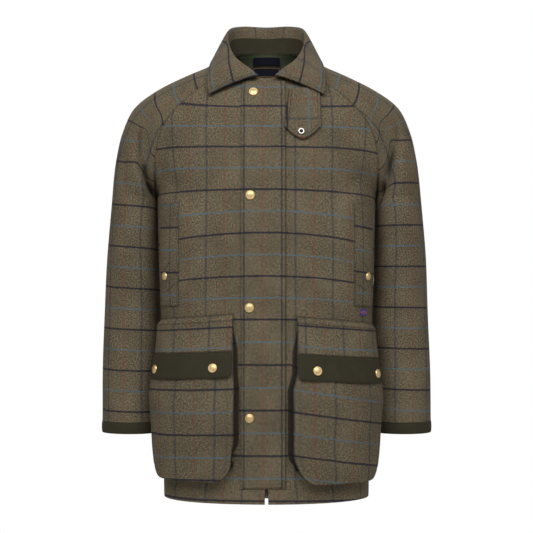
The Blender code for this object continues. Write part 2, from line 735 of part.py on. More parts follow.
for word, side, inward, down, slant, bulge, spread, fade in SIDES:

    def on_side(d, z, lift):
        """Points on this side's front, moved with its pocket."""
        return on_front(side * (d - inward), z - down, lift)

    def hung(d, z):
        """Level at which a place of this side's flap hangs."""
        return z - slant * (d - POCKET_INNER)

    def on_flap(d, z, lift):
        """Points on this side's front, moved with its flap."""
        return on_side(d, hung(d, z), lift)

    def under_flap(d, z):
        """Inner face of this side's flap."""
        return flap_lift(z, hung(d, z))

    def flap_face(d, z):
        """Outer face of this side's flap."""
        return under_flap(d, z) + WALL

    pocket(f"pocket_{word}", on_side, bulge, spread, fade, TWEED)
    flap_cols = np.linspace(POCKET_INNER - FLAP_OVERHANG, POCKET_OUTER + FLAP_OVERHANG, 13)
    flap_rows = (FLAP_SEAM + SEAM, *FLAP_BENDS, FLAP_TOP)
    patch(f"pocket_flap_{word}", on_flap, flap_cols, flap_rows, under_flap, WALL, TWEED)
    band_rows = (FLAP_BOTTOM, BAND_MIDDLE, FLAP_SEAM - SEAM)
    patch(f"flap_band_{word}", on_flap, flap_cols, band_rows, under_flap, WALL, MOLESKIN)
    hand_cols = side * np.linspace(HAND_INNER, HAND_OUTER, 7)
    hand_rows = level_rows(HAND_BOTTOM, HAND_TOP)
    patch(f"hand_flap_{word}", on_front, hand_cols, hand_rows, REST, TRIM_WALL, TWEED)
    for n, d in enumerate(FLAP_SNAPS):
        snap(f"flap_snap_{word}_{n + 1}", on_flap, side, d, FLAP_SNAP_Z, flap_face, SNAP_RADIUS, BRASS)
    snap(f"hand_snap_{word}", on_front, 1.0, side * HAND_SNAP[0], HAND_SNAP[1], on_trim, SNAP_RADIUS * 0.9, BRASS)

for n, (d, z) in enumerate(PLACKET_SNAPS):
    snap(f"placket_snap_{n + 1}", on_front, 1.0, d, z, on_trim, SNAP_RADIUS, BRASS)
snap("throat_ring", on_front, 1.0, RING_PLACE[0], RING_PLACE[1], on_tab, RING_RADIUS, NICKEL)

lining_lift = -WALL - 2.0 * REST - LINING_WALL
lining_cols = np.linspace(-LINING_HALF, LINING_HALF, 9)
lining_rows = level_rows(LINING_LEVELS[0], LINING_LEVELS[1], CENTRE_BACK)
patch("neck_lining", on_back, lining_cols, lining_rows, lining_lift, LINING_WALL, LINING)
label_wall = LINING_WALL * 0.7
label_lift = lining_lift - 2.5 * REST - label_wall
label_cols = np.linspace(-LABEL_HALF, LABEL_HALF, 5)
patch("label_upper", on_back, label_cols, UPPER_LEVELS, label_lift, label_wall, LABEL)
patch("label_lower", on_back, label_cols, LOWER_LEVELS, label_lift, label_wall, LABEL)
patch("flag_label", on_front, np.linspace(*FLAG_SPAN, 4), FLAG_LEVELS, REST, LINING_WALL, FLAG)
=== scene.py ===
"""Tweed field jacket with raglan sleeves: cloth, trim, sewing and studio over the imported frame.

Metres, +Z up, front towards -Y. A cloth panel is a set of rows from hem or cuff to neck, each row
one cubic arc between two seam lines. Soft folds are laid on the panels by place, so that a fold runs
on over a seam, and a piece that lies on a panel is made from the panel's own points.
"""
import logging
from collections.abc import Callable
from dataclasses import dataclass
from enum import Enum

import bpy
import numpy as np
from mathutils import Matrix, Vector
from numpy.typing import NDArray


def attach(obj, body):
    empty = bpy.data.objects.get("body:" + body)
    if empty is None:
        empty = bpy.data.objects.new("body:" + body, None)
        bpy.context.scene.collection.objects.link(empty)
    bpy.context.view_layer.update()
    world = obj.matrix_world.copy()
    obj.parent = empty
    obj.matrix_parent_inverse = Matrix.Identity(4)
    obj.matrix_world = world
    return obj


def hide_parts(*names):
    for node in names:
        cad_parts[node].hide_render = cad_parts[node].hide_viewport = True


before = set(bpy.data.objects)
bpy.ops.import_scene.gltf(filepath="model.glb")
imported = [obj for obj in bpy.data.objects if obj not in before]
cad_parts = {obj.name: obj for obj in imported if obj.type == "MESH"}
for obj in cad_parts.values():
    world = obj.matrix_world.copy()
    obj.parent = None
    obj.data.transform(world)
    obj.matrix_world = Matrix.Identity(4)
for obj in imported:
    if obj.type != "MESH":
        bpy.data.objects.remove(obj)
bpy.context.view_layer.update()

Array = NDArray[np.float64]
Rows = tuple[tuple[float, ...], ...]
Place = Callable[[Array, Array, Array], Array]
Lift = Callable[[Array, Array], Array]
Point = tuple[float, float, float]
Colour = tuple[float, float, float, float]
Socket = bpy.types.NodeSocket
log = logging.getLogger("jacket")

BODY = "root"

# Levels and walls
HEM_Z = -0.792
CUFF_Z = -0.679
ARMPIT = 1.0
NECK = 2.0
NECK_END = NECK - 0.0012
CHEST_WEFT_Z = -0.2346
WALL = 0.0020
TRIM_WALL = 0.0018
PLACKET_WALL = 0.0026
FLAP_WALL = 0.0024
BAND_WALL = 0.0026
REST = 0.0005

# Sewn seams of the shell: depth and half width of the dip, strength and half width of the dark line painted
# along them as shade in the seam's groove
SEAM_DIP = 0.0006
SEAM_WIDTH = 0.0030
SEAM_DARK = 0.42
DARK_WIDTH = 0.0022

# Centre lines: t, y, z
CENTRE_FRONT: Rows = (
    (0.00, -0.1360, HEM_Z),
    (0.50, -0.1375, -0.5185),
    (1.00, -0.1370, -0.2450),
    (1.25, -0.1335, -0.2020),
    (1.40, -0.1260, -0.1600),
    (1.55, -0.1165, -0.1220),
    (1.70, -0.1050, -0.0880),
    (1.85, -0.0910, -0.0570),
    (2.00, -0.0750, -0.0310),
)
CENTRE_BACK: Rows = (
    (0.00, 0.1280, HEM_Z),
    (0.50, 0.1270, -0.5185),
    (1.00, 0.1300, -0.2450),
    (1.25, 0.1340, -0.1900),
    (1.40, 0.1340, -0.1400),
    (1.55, 0.1300, -0.0920),
    (1.70, 0.1200, -0.0460),
    (1.85, 0.1000, -0.0040),
    (2.00, 0.0750, 0.0320),
)

# Side seam of the body and underarm seam of the sleeve: t, x, y, z
SIDE_SEAM: Rows = (
    (0.00, 0.1880, -0.0120, HEM_Z),
    (0.35, 0.1915, -0.0140, -0.6005),
    (0.70, 0.1960, -0.0120, -0.4090),
    (0.88, 0.1995, -0.0030, -0.3106),
    (1.00, 0.2030, 0.0120, -0.2450),
)
UNDERARM: Rows = (
    (0.00, 0.1955, 0.0360, CUFF_Z),
    (0.50, 0.1965, 0.0340, -0.4620),
    (0.80, 0.2000, 0.0260, -0.3320),
    (1.00, 0.2030, 0.0120, -0.2450),
)

# Raglan seams from underarm to neck: t, x, y, z
RAGLAN_FRONT: Rows = (
    (1.00, 0.2030, 0.0120, -0.2450),
    (1.12, 0.2040, -0.0160, -0.2280),
    (1.25, 0.2030, -0.0400, -0.2020),
    (1.40, 0.2000, -0.0580, -0.1580),
    (1.55, 0.1870, -0.0690, -0.1160),
    (1.70, 0.1580, -0.0700, -0.0780),
    (1.85, 0.1090, -0.0580, -0.0380),
)
RAGLAN_BACK: Rows = (
    (1.00, 0.2030, 0.0120, -0.2450),
    (1.12, 0.2040, 0.0440, -0.2260),
    (1.25, 0.2020, 0.0720, -0.1960),
    (1.40, 0.1960, 0.0940, -0.1500),
    (1.55, 0.1800, 0.1060, -0.1060),
    (1.70, 0.1480, 0.1060, -0.0600),
    (1.85, 0.1000, 0.0840, -0.0080),
)

# Overarm seam, cuff to neck: t, x, y, z
OVERARM: Rows = (
    (0.00, 0.3070, 0.0340, CUFF_Z),
    (0.25, 0.3058, 0.0340, -0.5700),
    (0.50, 0.3022, 0.0330, -0.4600),
    (0.75, 0.2970, 0.0320, -0.3490),
    (1.00, 0.2880, 0.0300, -0.2400),
    (1.12, 0.2842, 0.0280, -0.2050),
    (1.25, 0.2785, 0.0250, -0.1700),
    (1.40, 0.2670, 0.0200, -0.1220),
    (1.55, 0.2450, 0.0150, -0.0770),
    (1.70, 0.2005, 0.0100, -0.0440),
    (1.85, 0.1365, 0.0060, -0.0135),
    (2.00, 0.0700, 0.0000, 0.0135),
)

# Way across each raglan seam, and how sharply it is folded there: t, x, y, z, fold in degrees
ACROSS_FRONT: Rows = (
    (1.00, 1.00, 0.00, -0.30, 90.0),
    (1.12, 0.95, 0.10, -0.25, 66.0),
    (1.25, 0.90, 0.35, -0.15, 38.0),
    (1.40, 0.88, 0.45, -0.08, 16.0),
    (1.55, 0.85, 0.50, 0.03, 5.0),
    (1.70, 0.80, 0.55, 0.15, 0.0),
    (1.85, 0.62, 0.70, 0.30, 0.0),
)
ACROSS_BACK: Rows = (
    (1.00, 1.00, 0.00, -0.30, 90.0),
    (1.12, 0.95, -0.10, -0.25, 66.0),
    (1.25, 0.90, -0.35, -0.15, 38.0),
    (1.40, 0.88, -0.45, -0.05, 16.0),
    (1.55, 0.85, -0.50, 0.05, 5.0),
    (1.70, 0.78, -0.60, 0.15, 0.0),
    (1.85, 0.70, -0.68, 0.20, 0.0),
)

# Arc handles of the rows: t, at the first line, at the second
FRONT_ARC: Rows = (
    (0.00, 0.1130, 0.0720),
    (0.50, 0.1240, 0.0790),
    (1.00, 0.1300, 0.0900),
    (1.12, 0.1260, 0.0640),
    (1.25, 0.1180, 0.0480),
    (1.40, 0.0900, 0.0540),
    (1.55, 0.0750, 0.0600),
    (1.70, 0.0580, 0.0500),
    (1.85, 0.0400, 0.0330),
)
BACK_ARC: Rows = (
    (0.00, 0.1180, 0.0800),
    (0.50, 0.1200, 0.0820),
    (1.00, 0.1300, 0.0760),
    (1.12, 0.1260, 0.0560),
    (1.25, 0.1180, 0.0440),
    (1.40, 0.0950, 0.0500),
    (1.55, 0.0800, 0.0560),
    (1.70, 0.0620, 0.0500),
    (1.85, 0.0420, 0.0350),
)
SLEEVE_FRONT_ARC: Rows = (
    (0.00, 0.0780, 0.0780),
    (0.50, 0.0840, 0.0840),
    (1.00, 0.0860, 0.0860),
    (1.12, 0.0660, 0.0760),
    (1.25, 0.0520, 0.0680),
    (1.40, 0.0440, 0.0560),
    (1.55, 0.0390, 0.0440),
    (1.70, 0.0340, 0.0390),
    (1.85, 0.0260, 0.0290),
)
SLEEVE_BACK_ARC: Rows = (
    (0.00, 0.0780, 0.0780),
    (0.50, 0.0860, 0.0860),
    (1.00, 0.0880, 0.0880),
    (1.12, 0.0680, 0.0780),
    (1.25, 0.0540, 0.0700),
    (1.40, 0.0480, 0.0600),
    (1.55, 0.0440, 0.0500),
    (1.70, 0.0400, 0.0440),
    (1.85, 0.0310, 0.0330),
)

# How far the sleeve's wefts drop from the overarm to the raglan seam: t, share of a check
WEFT_DROP: Rows = (
    (0.00, 0.00),
    (1.05, 0.00),
    (1.20, 0.12),
    (1.35, 0.46),
    (1.50, 0.68),
    (1.65, 0.50),
    (1.80, 0.34),
    (2.00, 0.10),
)

# Collar, centre back to front end: u, roll line x, y, z, outer edge x, y, z
COLLAR_LINE: Rows = (
    (0.00, 0.0000, 0.0830, 0.0835, 0.0000, 0.1340, 0.0180),
    (0.20, 0.0470, 0.0720, 0.0835, 0.0610, 0.1230, 0.0130),
    (0.40, 0.0710, 0.0420, 0.0720, 0.1010, 0.0740, 0.0100),
    (0.60, 0.0700, -0.0040, 0.0360, 0.1060, -0.0060, 0.0010),
    (0.80, 0.0510, -0.0600, 0.0020, 0.1080, -0.0710, -0.0330),
    (0.90, 0.0340, -0.0780, -0.0120, 0.1070, -0.0840, -0.0480),
    (1.00, 0.0185, -0.0885, -0.0270, 0.1040, -0.0930, -0.0620),
)


class Side(Enum):
    """Wearer's side; the value is its way along X."""

    RIGHT = -1.0
    LEFT = 1.0

    @property
    def word(self) -> str:
        """The side's word in piece names."""
        return self.name.lower()


class Panel(Enum):
    """Half panels of the jacket's shell."""

    FRONT = "front"
    BACK = "back"
    SLEEVE_FRONT = "sleeve_front"
    SLEEVE_BACK = "sleeve_back"

    @property
    def forward(self) -> float:
        """One for the panels ahead of the side seams, minus one for those behind."""
        return 1.0 if self in (Panel.FRONT, Panel.SLEEVE_FRONT) else -1.0

    @property
    def is_sleeve(self) -> bool:
        """Whether the panel is half a sleeve."""
        return self in (Panel.SLEEVE_FRONT, Panel.SLEEVE_BACK)


class Held(Enum):
    """How a sheet of cloth is kept in its form."""

    DRAPED = "draped"
    LAID = "laid"
    FOLDED = "folded"


def unit(v: Array) -> Array:
    """Vectors scaled to length one."""
    return v / np.maximum(np.linalg.norm(v, axis=-1, keepdims=True), 1e-12)


def smooth(x: Array) -> Array:
    """Smooth step from 0 to 1."""
    x = np.clip(x, 0.0, 1.0)
    return x * x * (3.0 - 2.0 * x)


def lengths(points: Array, axis: int = 0) -> Array:
    """Running length along one axis of a grid of points, from zero.

    Args:
        points: grid of points.
        axis: grid axis to run along.

    Returns:
        Lengths, one for each point.
    """
    step = np.linalg.norm(np.diff(points, axis=axis), axis=-1)
    total = np.cumsum(step, axis=axis)
    return np.concatenate([np.zeros_like(np.take(total, [0], axis=axis)), total], axis=axis)


def grid_normals(points: Array) -> Array:
    """Unit normals of a grid of points: columns crossed with rows.

    Args:
        points: grid of points.

    Returns:
        Vectors, one for each point.
    """
    along = np.gradient(points, axis=1)
    up = np.gradient(points, axis=0)
    return unit(np.cross(along, up))


def clustered(count: int) -> Array:
    """Places from 0 to 1 that lie closer together at both ends."""
    return 0.5 - 0.5 * np.cos(np.pi * np.linspace(0.0, 1.0, count))


def bell(x: Array, width: float) -> Array:
    """Bell of height one round zero: e to the minus square of x over its width."""
    return np.exp(-((x / width) ** 2))


def still(lay: Array, t: Array) -> Array:
    """Share of a fold that is left at a distance from the seam: none in the armpit, all of it further up."""
    return 1.0 - (1.0 - smooth(lay / 0.016)) * (1.0 - smooth((t - 1.14) / 0.24)) * smooth((t - 0.70) / 0.2)


class Curve:
    """A short table read as a smooth curve of its first column."""

    def __init__(self, rows: Rows) -> None:
        """Keep the knots, the values and the slopes taken from neighbour rows.

        Args:
            rows: a knot and its values in each row.
        """
        data = np.array(rows, dtype=float)
        self.knots = data[:, 0]
        self.values = data[:, 1:]
        self.slopes = np.gradient(self.values, self.knots, axis=0)

    def __call__(self, t: Array) -> Array:
        """Values at t: the cubic between the two rows around it.

        Args:
            t: places along the knots.

        Returns:
            Values, on a last axis of their own.
        """
        t = np.asarray(t, dtype=float)
        i = np.clip(np.searchsorted(self.knots, t, side="right") - 1, 0, len(self.knots) - 2)
        step = (self.knots[i + 1] - self.knots[i])[..., None]
        u = (t - self.knots[i])[..., None] / step
        return (
            (2 * u**3 - 3 * u**2 + 1) * self.values[i]
            + (u**3 - 2 * u**2 + u) * step * self.slopes[i]
            + (3 * u**2 - 2 * u**3) * self.values[i + 1]
            + (u**3 - u**2) * step * self.slopes[i + 1]
        )


@dataclass(frozen=True)
class NeckSeam:
    """Neck seam: an oval, tilted to the front, with raised shoulder points."""

    half_width: float = 0.070
    half_depth: float = 0.075
    rise: float = 0.0005
    tilt: float = 0.42
    shoulder: float = 0.013
    front_angle: float = float(np.radians(-38.0))
    back_angle: float = float(np.radians(40.0))

    def point(self, angle: Array) -> Array:
        """Point at an angle: 0 at the left shoulder, 90 degrees at the back.

        Args:
            angle: angles in radians.

        Returns:
            Points on the seam.
        """
        c, s = np.cos(angle), np.sin(angle)
        y = self.half_depth * s
        z = self.rise + self.tilt * y + self.shoulder * c * c
        return np.stack([self.half_width * c, y, z], axis=-1)

    def slope(self, angle: Array) -> Array:
        """Change of the point with its angle.

        Args:
            angle: angles in radians.

        Returns:
            Vectors along the seam.
        """
        c, s = np.cos(angle), np.sin(angle)
        dy = self.half_depth * c
        return np.stack([-self.half_width * s, dy, self.tilt * dy - 2 * self.shoulder * c * s], axis=-1)

    def handles(self, a: float, b: float) -> tuple[float, float]:
        """Handle lengths that make one cubic arc follow the seam between two angles.

        Args:
            a: first angle.
            b: second angle.

        Returns:
            Length at each end.
        """
        k = abs(4.0 / 3.0 * np.tan((b - a) / 4.0))
        ends = np.linalg.norm(self.slope(np.array((a, b))), axis=-1)
        return float(k * ends[0]), float(k * ends[1])

    def close(self, rows: Rows, last: tuple[float, ...]) -> Curve:
        """A table with its neck row added, as a curve."""
        return Curve(rows + ((NECK, *(float(v) for v in last)),))


class Block:
    """Surfaces of the half panels, on the wearer's left: s across a row, t from hem or cuff to neck."""

    def __init__(self, neck: NeckSeam) -> None:
        """Read the tables as curves that all end on the neck seam.

        Args:
            neck: the seam that every panel ends on.
        """
        self.neck = neck
        self.tilt = neck.tilt
        front, back, half = neck.front_angle, neck.back_angle, float(np.pi / 2.0)
        front_way = unit(neck.slope(np.array(front)))
        back_way = -unit(neck.slope(np.array(back)))
        self.centre = {1.0: Curve(CENTRE_FRONT), -1.0: Curve(CENTRE_BACK)}
        self.side_seam = Curve(SIDE_SEAM)
        self.underarm = Curve(UNDERARM)
        self.overarm = Curve(OVERARM)
        self.raglan = {
            1.0: neck.close(RAGLAN_FRONT, tuple(neck.point(np.array(front)))),
            -1.0: neck.close(RAGLAN_BACK, tuple(neck.point(np.array(back)))),
        }
        self.across = {
            1.0: neck.close(ACROSS_FRONT, (*front_way, 0.0)),
            -1.0: neck.close(ACROSS_BACK, (*back_way, 0.0)),
        }
        self.arcs = {
            Panel.FRONT: neck.close(FRONT_ARC, neck.handles(-half, front)),
            Panel.BACK: neck.close(BACK_ARC, neck.handles(half, back)),
            Panel.SLEEVE_FRONT: neck.close(SLEEVE_FRONT_ARC, neck.handles(front, 0.0)),
            Panel.SLEEVE_BACK: neck.close(SLEEVE_BACK_ARC, neck.handles(back, 0.0)),
        }

    def surface(self, panel: Panel, s: Array, t: Array) -> Array:
        """Points of a half panel: a cubic arc from its first seam line to its second.

        Args:
            panel: which half panel.
            s: place across the row, 0 at the centre line (underarm on a sleeve), 1 at the other seam.
            t: row, 0 at hem or cuff, 1 at the armpit, 2 at the neck.

        Returns:
            Points, on the wearer's left.
        """
        s, t = np.broadcast_arrays(np.asarray(s, float), np.asarray(t, float))
        fore = panel.forward
        row = self.across[fore](np.maximum(t, ARMPIT))
        fold = np.radians(np.clip(row[..., 3:4], 0.0, 90.0))
        side = np.array((0.0, fore, 0.0))
        over = unit(row[..., :3]) * np.cos(fold)
        below = (t < ARMPIT)[..., None]
        if panel.is_sleeve:
            p0 = np.where(below, self.underarm(t), self.raglan[fore](t))
            way0 = unit(over - np.sin(fold) * side)
            p1 = self.overarm(t)
            rise = self.tilt * np.clip((t - 1.85) / 0.15, 0.0, 1.0)
            way1 = unit(np.stack([np.zeros_like(t), np.full_like(t, fore), fore * rise], axis=-1))
        else:
            line = self.centre[fore](t)
            p0 = np.concatenate([np.zeros_like(line[..., :1]), line], axis=-1)
            way0 = np.zeros_like(p0) + np.array((1.0, 0.0, 0.0))
            p1 = np.where(below, self.side_seam(t), self.raglan[fore](t))
            way1 = unit(over + np.sin(fold) * side)
        handle = self.arcs[panel](t)
        a, b = p0 + way0 * handle[..., :1], p1 - way1 * handle[..., 1:2]
        q = s[..., None]
        r = 1.0 - q
        return r**3 * p0 + 3 * r * r * q * a + 3 * r * q * q * b + q**3 * p1

    def normal(self, panel: Panel, s: Array, t: Array) -> Array:
        """Outward unit normals of a half panel, by small steps both ways.

        Args:
            panel: which half panel.
            s: place across the row.
            t: row.

        Returns:
            Vectors, on the wearer's left.
        """
        e = 1e-4
        ds = self.surface(panel, s + e, t) - self.surface(panel, s - e, t)
        dt = self.surface(panel, s, np.minimum(t + e, NECK)) - self.surface(panel, s, np.maximum(t - e, 0.0))
        return unit(np.cross(ds, dt)) * panel.forward


@dataclass(frozen=True)
class Fold:
    """A soft ridge (depth above 0) or trough: its middle, the way it runs and its size."""

    middle: Point
    way: Point
    length: float
    width: float
    depth: float


class FoldField:
    """Creases of the filled-out cloth, laid by place."""

    def __init__(self, folds: tuple[Fold, ...], block: Block, swell: float = 0.0009) -> None:
        """Settle each fold's middle on the nearest cloth, and keep the height of the slow unevenness.

        Args:
            folds: ridges and troughs.
            block: the cloth they lie on.
            swell: height of the unevenness.
        """
        s, t = np.linspace(0.02, 0.98, 50)[None, :], np.linspace(0.0, 1.9, 240)[:, None]
        left = np.concatenate([block.surface(panel, s, t).reshape(-1, 3) for panel in Panel])
        cloth = np.concatenate([left, left * np.array((-1.0, 1.0, 1.0))])
        self.middles = [cloth[np.argmin(np.sum((cloth - np.array(f.middle)) ** 2, axis=-1))] for f in folds]
        self.folds = folds
        self.swell = swell

    @staticmethod
    def lie(fold: Fold, middle: Array, points: Array) -> tuple[Array, Array]:
        """How points lie to a fold.

        Args:
            fold: the fold.
            middle: its middle on the cloth.
            points: places on the plain cloth.

        Returns:
            Distance along the fold, and square of the distance aside from it.
        """
        rel = points - middle
        along = rel @ unit(np.array(fold.way))
        return along, np.sum(rel * rel, axis=-1) - along * along

    def height(self, points: Array) -> Array:
        """Height off the plain form: a bell along and across each fold, over slow crossed waves.

        Args:
            points: places on the plain cloth.

        Returns:
            Heights.
        """
        x, y, z = points[..., 0], points[..., 1], points[..., 2]
        waves = np.sin(23.0 * x + 9.0 * z + 1.1) + np.sin(31.0 * z - 14.0 * y + 0.4)
        waves = waves + np.sin(19.0 * z + 27.0 * x - 17.0 * y)
        total = self.swell * waves / 3.0
        for fold, middle in zip(self.folds, self.middles):
            along, aside = self.lie(fold, middle, points)
            total = total + fold.depth * np.exp(-((along / fold.length) ** 2) - aside / fold.width**2)
        return total

    def shade(self, points: Array, least: float = 0.0050) -> Array:
        """How little light reaches into the deep troughs, 0 to 1: a narrow bell along each one's floor.

        Args:
            points: places on the plain cloth.
            least: depth of the shallowest trough that counts.

        Returns:
            Shares of dark.
        """
        total = np.zeros(points.shape[:-1])
        for fold, middle in zip(self.folds, self.middles):
            if fold.depth < -least:
                along, aside = self.lie(fold, middle, points)
                floor = np.exp(-((along / fold.length) ** 4) - aside / (0.62 * fold.width) ** 2)
                total = np.maximum(total, -fold.depth / 0.0110 * floor)
        return total


FOLDS: tuple[Fold, ...] = (
    # Drag from each armpit down the sleeve and along the raglan seam
    Fold((-0.2200, -0.0440, -0.2030), (0.40, 0.28, -0.87), 0.025, 0.0075, -0.0100),
    Fold((-0.2085, -0.0250, -0.2290), (0.26, 0.78, -0.57), 0.026, 0.0062, -0.0115),
    Fold((-0.2020, -0.0480, -0.1860), (0.03, -0.38, 0.92), 0.036, 0.0110, 0.0036),
    Fold((-0.2320, -0.048, -0.214), (0.34, 0.16, -0.93), 0.042, 0.0110, 0.0060),
    Fold((-0.2335, -0.046, -0.150), (0.06, 0.0, -1.0), 0.040, 0.0060, -0.0052),
    Fold((-0.2560, -0.030, -0.190), (0.20, 0.0, -1.0), 0.050, 0.012, -0.0040),
    Fold((0.2265, -0.0460, -0.1900), (-0.30, 0.05, -0.95), 0.038, 0.0070, -0.0095),
    Fold((0.2100, -0.0250, -0.2350), (-0.20, 0.50, -0.84), 0.032, 0.0062, -0.0105),
    Fold((0.2020, -0.0480, -0.1860), (-0.03, -0.38, 0.92), 0.036, 0.0110, 0.0036),
    Fold((0.2450, -0.048, -0.196), (-0.20, 0.0, -1.0), 0.042, 0.012, 0.0056),
    Fold((0.2440, -0.040, -0.130), (-0.10, 0.0, -1.0), 0.040, 0.008, -0.0040),
    # Fronts, from the armpit towards the placket and down to the pockets
    Fold((-0.165, -0.094, -0.235), (0.75, -0.45, -0.75), 0.055, 0.014, -0.0034),
    Fold((-0.150, -0.108, -0.285), (0.35, -0.20, -1.0), 0.075, 0.019, 0.0030),
    Fold((-0.095, -0.130, -0.330), (0.15, -0.05, -1.0), 0.095, 0.020, -0.0026),
    Fold((0.160, -0.098, -0.225), (-0.80, -0.45, -0.65), 0.050, 0.014, -0.0032),
    Fold((0.140, -0.112, -0.290), (-0.25, -0.15, -1.0), 0.085, 0.020, 0.0026),
    Fold((0.086, -0.132, -0.350), (-0.10, -0.05, -1.0), 0.080, 0.019, -0.0024),
    Fold((-0.085, -0.122, -0.150), (0.20, -0.30, -1.0), 0.060, 0.022, 0.0020),
    Fold((0.120, -0.110, -0.165), (-0.35, -0.35, -0.9), 0.050, 0.020, 0.0018),
    # Sleeves, front
    Fold((-0.250, -0.040, -0.330), (0.95, -0.15, -0.45), 0.030, 0.014, -0.0030),
    Fold((-0.262, -0.040, -0.430), (0.90, -0.10, 0.30), 0.034, 0.017, -0.0028),
    Fold((-0.238, -0.045, -0.520), (0.85, 0.0, -0.50), 0.036, 0.016, -0.0026),
    Fold((-0.262, -0.042, -0.610), (0.90, 0.0, 0.25), 0.030, 0.015, -0.0022),
    Fold((0.256, -0.040, -0.350), (0.90, 0.10, 0.50), 0.034, 0.015, -0.0030),
    Fold((0.240, -0.046, -0.460), (0.95, 0.0, -0.25), 0.034, 0.016, -0.0028),
    Fold((0.264, -0.040, -0.545), (0.85, 0.0, 0.55), 0.032, 0.015, -0.0026),
    Fold((0.244, -0.044, -0.630), (0.95, 0.0, -0.20), 0.028, 0.014, -0.0020),
    # Sleeves, back
    Fold((-0.248, 0.106, -0.300), (0.90, 0.0, 0.50), 0.036, 0.015, -0.0036),
    Fold((-0.262, 0.108, -0.420), (0.95, 0.0, -0.30), 0.034, 0.015, -0.0038),
    Fold((-0.244, 0.110, -0.475), (0.90, 0.0, 0.35), 0.030, 0.014, -0.0032),
    Fold((-0.256, 0.108, -0.590), (0.95, 0.0, -0.20), 0.032, 0.016, -0.0024),
    Fold((0.252, 0.106, -0.320), (0.90, 0.0, -0.45), 0.034, 0.015, -0.0034),
    Fold((0.244, 0.110, -0.440), (0.95, 0.0, 0.30), 0.034, 0.015, -0.0038),
    Fold((0.262, 0.108, -0.505), (0.90, 0.0, -0.35), 0.030, 0.014, -0.0030),
    Fold((0.248, 0.108, -0.620), (0.95, 0.0, 0.20), 0.030, 0.015, -0.0022),
    # Back
    Fold((-0.170, 0.098, -0.240), (-0.45, -0.30, -0.9), 0.065, 0.016, -0.0040),
    Fold((0.172, 0.097, -0.250), (0.45, -0.30, -0.9), 0.060, 0.017, -0.0038),
    Fold((-0.120, 0.120, -0.330), (-0.20, 0.0, -1.0), 0.110, 0.024, 0.0034),
    Fold((0.105, 0.123, -0.370), (0.15, 0.0, -1.0), 0.120, 0.026, 0.0032),
    Fold((-0.020, 0.130, -0.520), (0.06, 0.0, -1.0), 0.140, 0.024, -0.0030),
    Fold((0.060, 0.127, -0.640), (0.10, 0.0, -1.0), 0.100, 0.024, 0.0026),
    Fold((-0.100, 0.120, -0.660), (-0.08, 0.0, -1.0), 0.110, 0.024, -0.0026),
    # Sides below the armpits
    Fold((-0.190, 0.052, -0.400), (0.10, 0.30, -1.0), 0.100, 0.018, -0.0034),
    Fold((0.190, 0.050, -0.430), (-0.10, 0.25, -1.0), 0.110, 0.018, -0.0032),
)


class PanelMap:
    """Places on a body panel, by cloth distance from the centre line and by level."""

    def __init__(self, block: Block, panel: Panel, folds: FoldField) -> None:
        """Measure every row and keep where equal fractions of its length fall.

        Args:
            block: surfaces of the panels.
            panel: which half panel.
            folds: the creases.
        """
        self.block = block
        self.panel = panel
        self.folds = folds
        self.t = np.linspace(0.0, NECK, 241)
        s = np.linspace(0.0, 1.0, 161)
        reach = lengths(block.surface(panel, s[None, :], self.t[:, None]), axis=1)
        self.span = reach[:, -1]
        parts = np.linspace(0.0, 1.0, 161)
        self.table = np.stack([np.interp(parts * row[-1], row, s) for row in reach])
        line = block.centre[panel.forward](self.t)
        self.levels = line[:, 1]
        self.run = lengths(line)

    def locate(self, d: Array, z: Array) -> tuple[Array, Array]:
        """Surface coordinates s and t of places at a cloth distance and a level.

        Args:
            d: cloth distance from the centre line.
            z: level down the centre line.

        Returns:
            s and t.
        """
        t = np.interp(z, self.levels, self.t)
        row = np.clip(t / NECK * 240.0, 0.0, 239.999)
        part = np.clip(np.abs(d) / np.interp(t, self.t, self.span), 0.0, 1.0) * 159.999
        i, j = row.astype(int), part.astype(int)
        a, b = row - i, part - j
        low = self.table[i, j] * (1.0 - b) + self.table[i, j + 1] * b
        high = self.table[i + 1, j] * (1.0 - b) + self.table[i + 1, j + 1] * b
        return low * (1.0 - a) + high * a, t

    def place(self, d: Array, z: Array, lift: Array) -> Array:
        """Points off the folded panel by lift; d below 0 lies on the wearer's right.

        Args:
            d: cloth distance from the centre line.
            z: level down the centre line.
            lift: height off the cloth.

        Returns:
            Points.
        """
        d, z, lift = np.broadcast_arrays(np.asarray(d, float), np.asarray(z, float), np.asarray(lift, float))
        s, t = self.locate(d, z)
        flip = np.ones((*d.shape, 3))
        flip[..., 0] = np.where(d < 0.0, -1.0, 1.0)
        base = self.block.surface(self.panel, s, t) * flip
        out = self.block.normal(self.panel, s, t) * flip
        return base + out * (lift + self.folds.height(base))[..., None]

    def run_at(self, z: Array) -> Array:
        """Cloth length down the centre line from the navy weft on the chest to a level."""
        start = np.interp(CHEST_WEFT_Z, self.levels, self.run)
        return start - np.interp(z, self.levels, self.run)

    def run_of(self, t: Array) -> Array:
        """Cloth length down the centre line from the navy weft on the chest to a row."""
        start = np.interp(CHEST_WEFT_Z, self.levels, self.run)
        return start - np.interp(t, self.t, self.run)


@dataclass(frozen=True)
class Check:
    """How the check lies on a piece: the place of one dark warp, of one navy weft, and their spacing."""

    warp: float
    weft: float
    warp_period: float = 0.0670
    weft_period: float = 0.0780

    def uv(self, across: Array, up: Array) -> Array:
        """Check coordinates: whole numbers fall on dark warps and navy wefts."""
        u, v = (across - self.warp) / self.warp_period, (up - self.weft) / self.weft_period
        return np.stack([u, v], axis=-1)

    @staticmethod
    def body_weft(run: Array) -> Array:
        """Weft coordinate down the body, a little wider spaced below the waist."""
        upper, bend, lower = 0.0766, 0.2308, 0.0804
        return -np.where(run < bend, run / upper, bend / upper + (run - bend) / lower)


